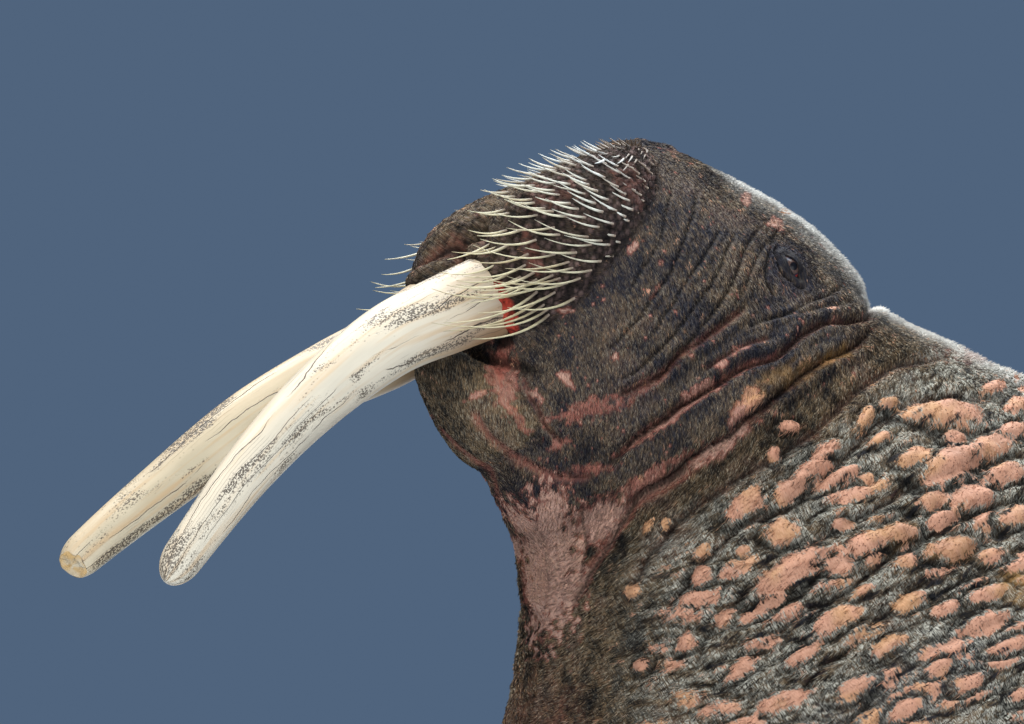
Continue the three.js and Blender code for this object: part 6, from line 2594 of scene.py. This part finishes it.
@dataclass
class Studio:
    """The floor, the lights and the camera of the photograph."""

    floor_radius: float = 4.2
    camera_level: float = 1.0848
    camera_shift: float = -0.00324
    camera_away: float = 24.0
    picture_breadth: float = 1.106
    sensor: float = 36.0

    def build(self, finish: FloorFinish) -> None:
        """Lays the floor, hangs the lights and sets the camera."""
        self._lay_floor(finish.build())
        self._light()
        self._aim()

    def _lay_floor(self, material: bpy.types.Material) -> None:
        """A round floor under the walrus."""
        around = np.arange(96) / 96 * TURN
        centre = (np.array(CAD_BOX[0]) + np.array(CAD_BOX[1])) / 2 * 1000
        floor = np.stack([np.cos(around), np.sin(around), 0 * around], -1) * self.floor_radius * 1000
        floor[:, :2] += centre[:2]
        floor[:, 2] = CAD_BOX[0][2] * 1000
        points = floor / 1000 - PLACEMENT.origin
        mesh = make_mesh("floor", (points * 1000, [np.arange(96)[None]]))
        mesh.materials.append(material)
        piece = bpy.data.objects.new("floor", mesh)
        bpy.context.scene.collection.objects.link(piece)

    def _lamp(
        self, name: str, place: Colour, target: Colour, size: float, power: float, tint: Colour
    ) -> None:
        """A soft square lamp.

        Args:
            name: its name.
            place: where it hangs, in metres from the walrus's zero.
            target: what it points at.
            size: its side in metres.
            power: watts.
            tint: its colour.
        """
        data = bpy.data.lights.new(name, "AREA")
        data.size = size
        data.energy = power
        data.color = tint
        lamp = bpy.data.objects.new(name, data)
        spot = Vector(place) + Vector(PLACEMENT.origin)
        lamp.location = spot
        lamp.rotation_euler = (
            (Vector(target) + Vector(PLACEMENT.origin) - spot).to_track_quat("-Z", "Y").to_euler()
        )
        bpy.context.scene.collection.objects.link(lamp)

    def _light(self) -> None:
        """An overcast sky from above and behind, with a softer light from the front."""
        world = bpy.data.worlds.new("studio")
        world.use_nodes = True
        background = world.node_tree.nodes["Background"]
        background.inputs["Color"].default_value = (0.080, 0.127, 0.205, 1)
        background.inputs["Strength"].default_value = 1.0
        bpy.context.scene.world = world
        self._lamp("sky", (0.9, 1.0, 4.6), (0.4, 0, 0.9), 4.0, 440, (0.93, 0.97, 1.0))
        self._lamp("window", (-2.6, -4.2, 3.0), (0.1, 0, 0.9), 3.0, 250, (1.0, 0.98, 0.95))
        self._lamp("low_fill", (1.8, -4.4, 1.2), (0.4, 0, 0.7), 3.0, 60, (0.95, 0.97, 1.0))

    def _aim(self) -> None:
        """The camera, level and far off, so that it sees the walrus as the photograph does."""
        data = bpy.data.cameras.new("camera")
        data.sensor_width = self.sensor
        data.lens = self.sensor * self.camera_away / self.picture_breadth
        data.clip_end = 200
        camera = bpy.data.objects.new("camera", data)
        look = Vector(VIEW.look)
        target = Vector(VIEW.rightward) * self.camera_shift + Vector((0, 0, self.camera_level))
        target += Vector(PLACEMENT.origin)
        camera.location = target - look * self.camera_away
        camera.rotation_euler = look.to_track_quat("-Z", "Y").to_euler()
        bpy.context.scene.collection.objects.link(camera)
        bpy.context.scene.camera = camera
        bpy.context.scene.view_settings.view_transform = "Standard"


def build_nails(material: bpy.types.Material) -> bpy.types.Object:
    """The nails of all four flippers, as one piece."""
    mesh = make_mesh("nails", joined([flipper.nails() for flipper in FLIPPERS]))
    return add_piece(mesh, material, [])


def main() -> None:
    """Builds the walrus and its studio."""
    logging.basicConfig(level=logging.INFO, format="%(message)s")
    hide = Hide()
    hide.build(HideFinish("hide", tufted=False).build())
    Coat(hide).build(HideFinish("coat", tufted=True).build())
    Whiskers().build(WhiskerFinish().build())
    for form in TUSKS:
        finish = STAINED_IVORY if form.broken else IvoryFinish()
        Tusk(form).build(finish.build())
    Eyes().build(EyeFinish().build())
    build_nails(NailFinish().build())
    Studio().build(FloorFinish())


if __name__ == "__main__":
    main()
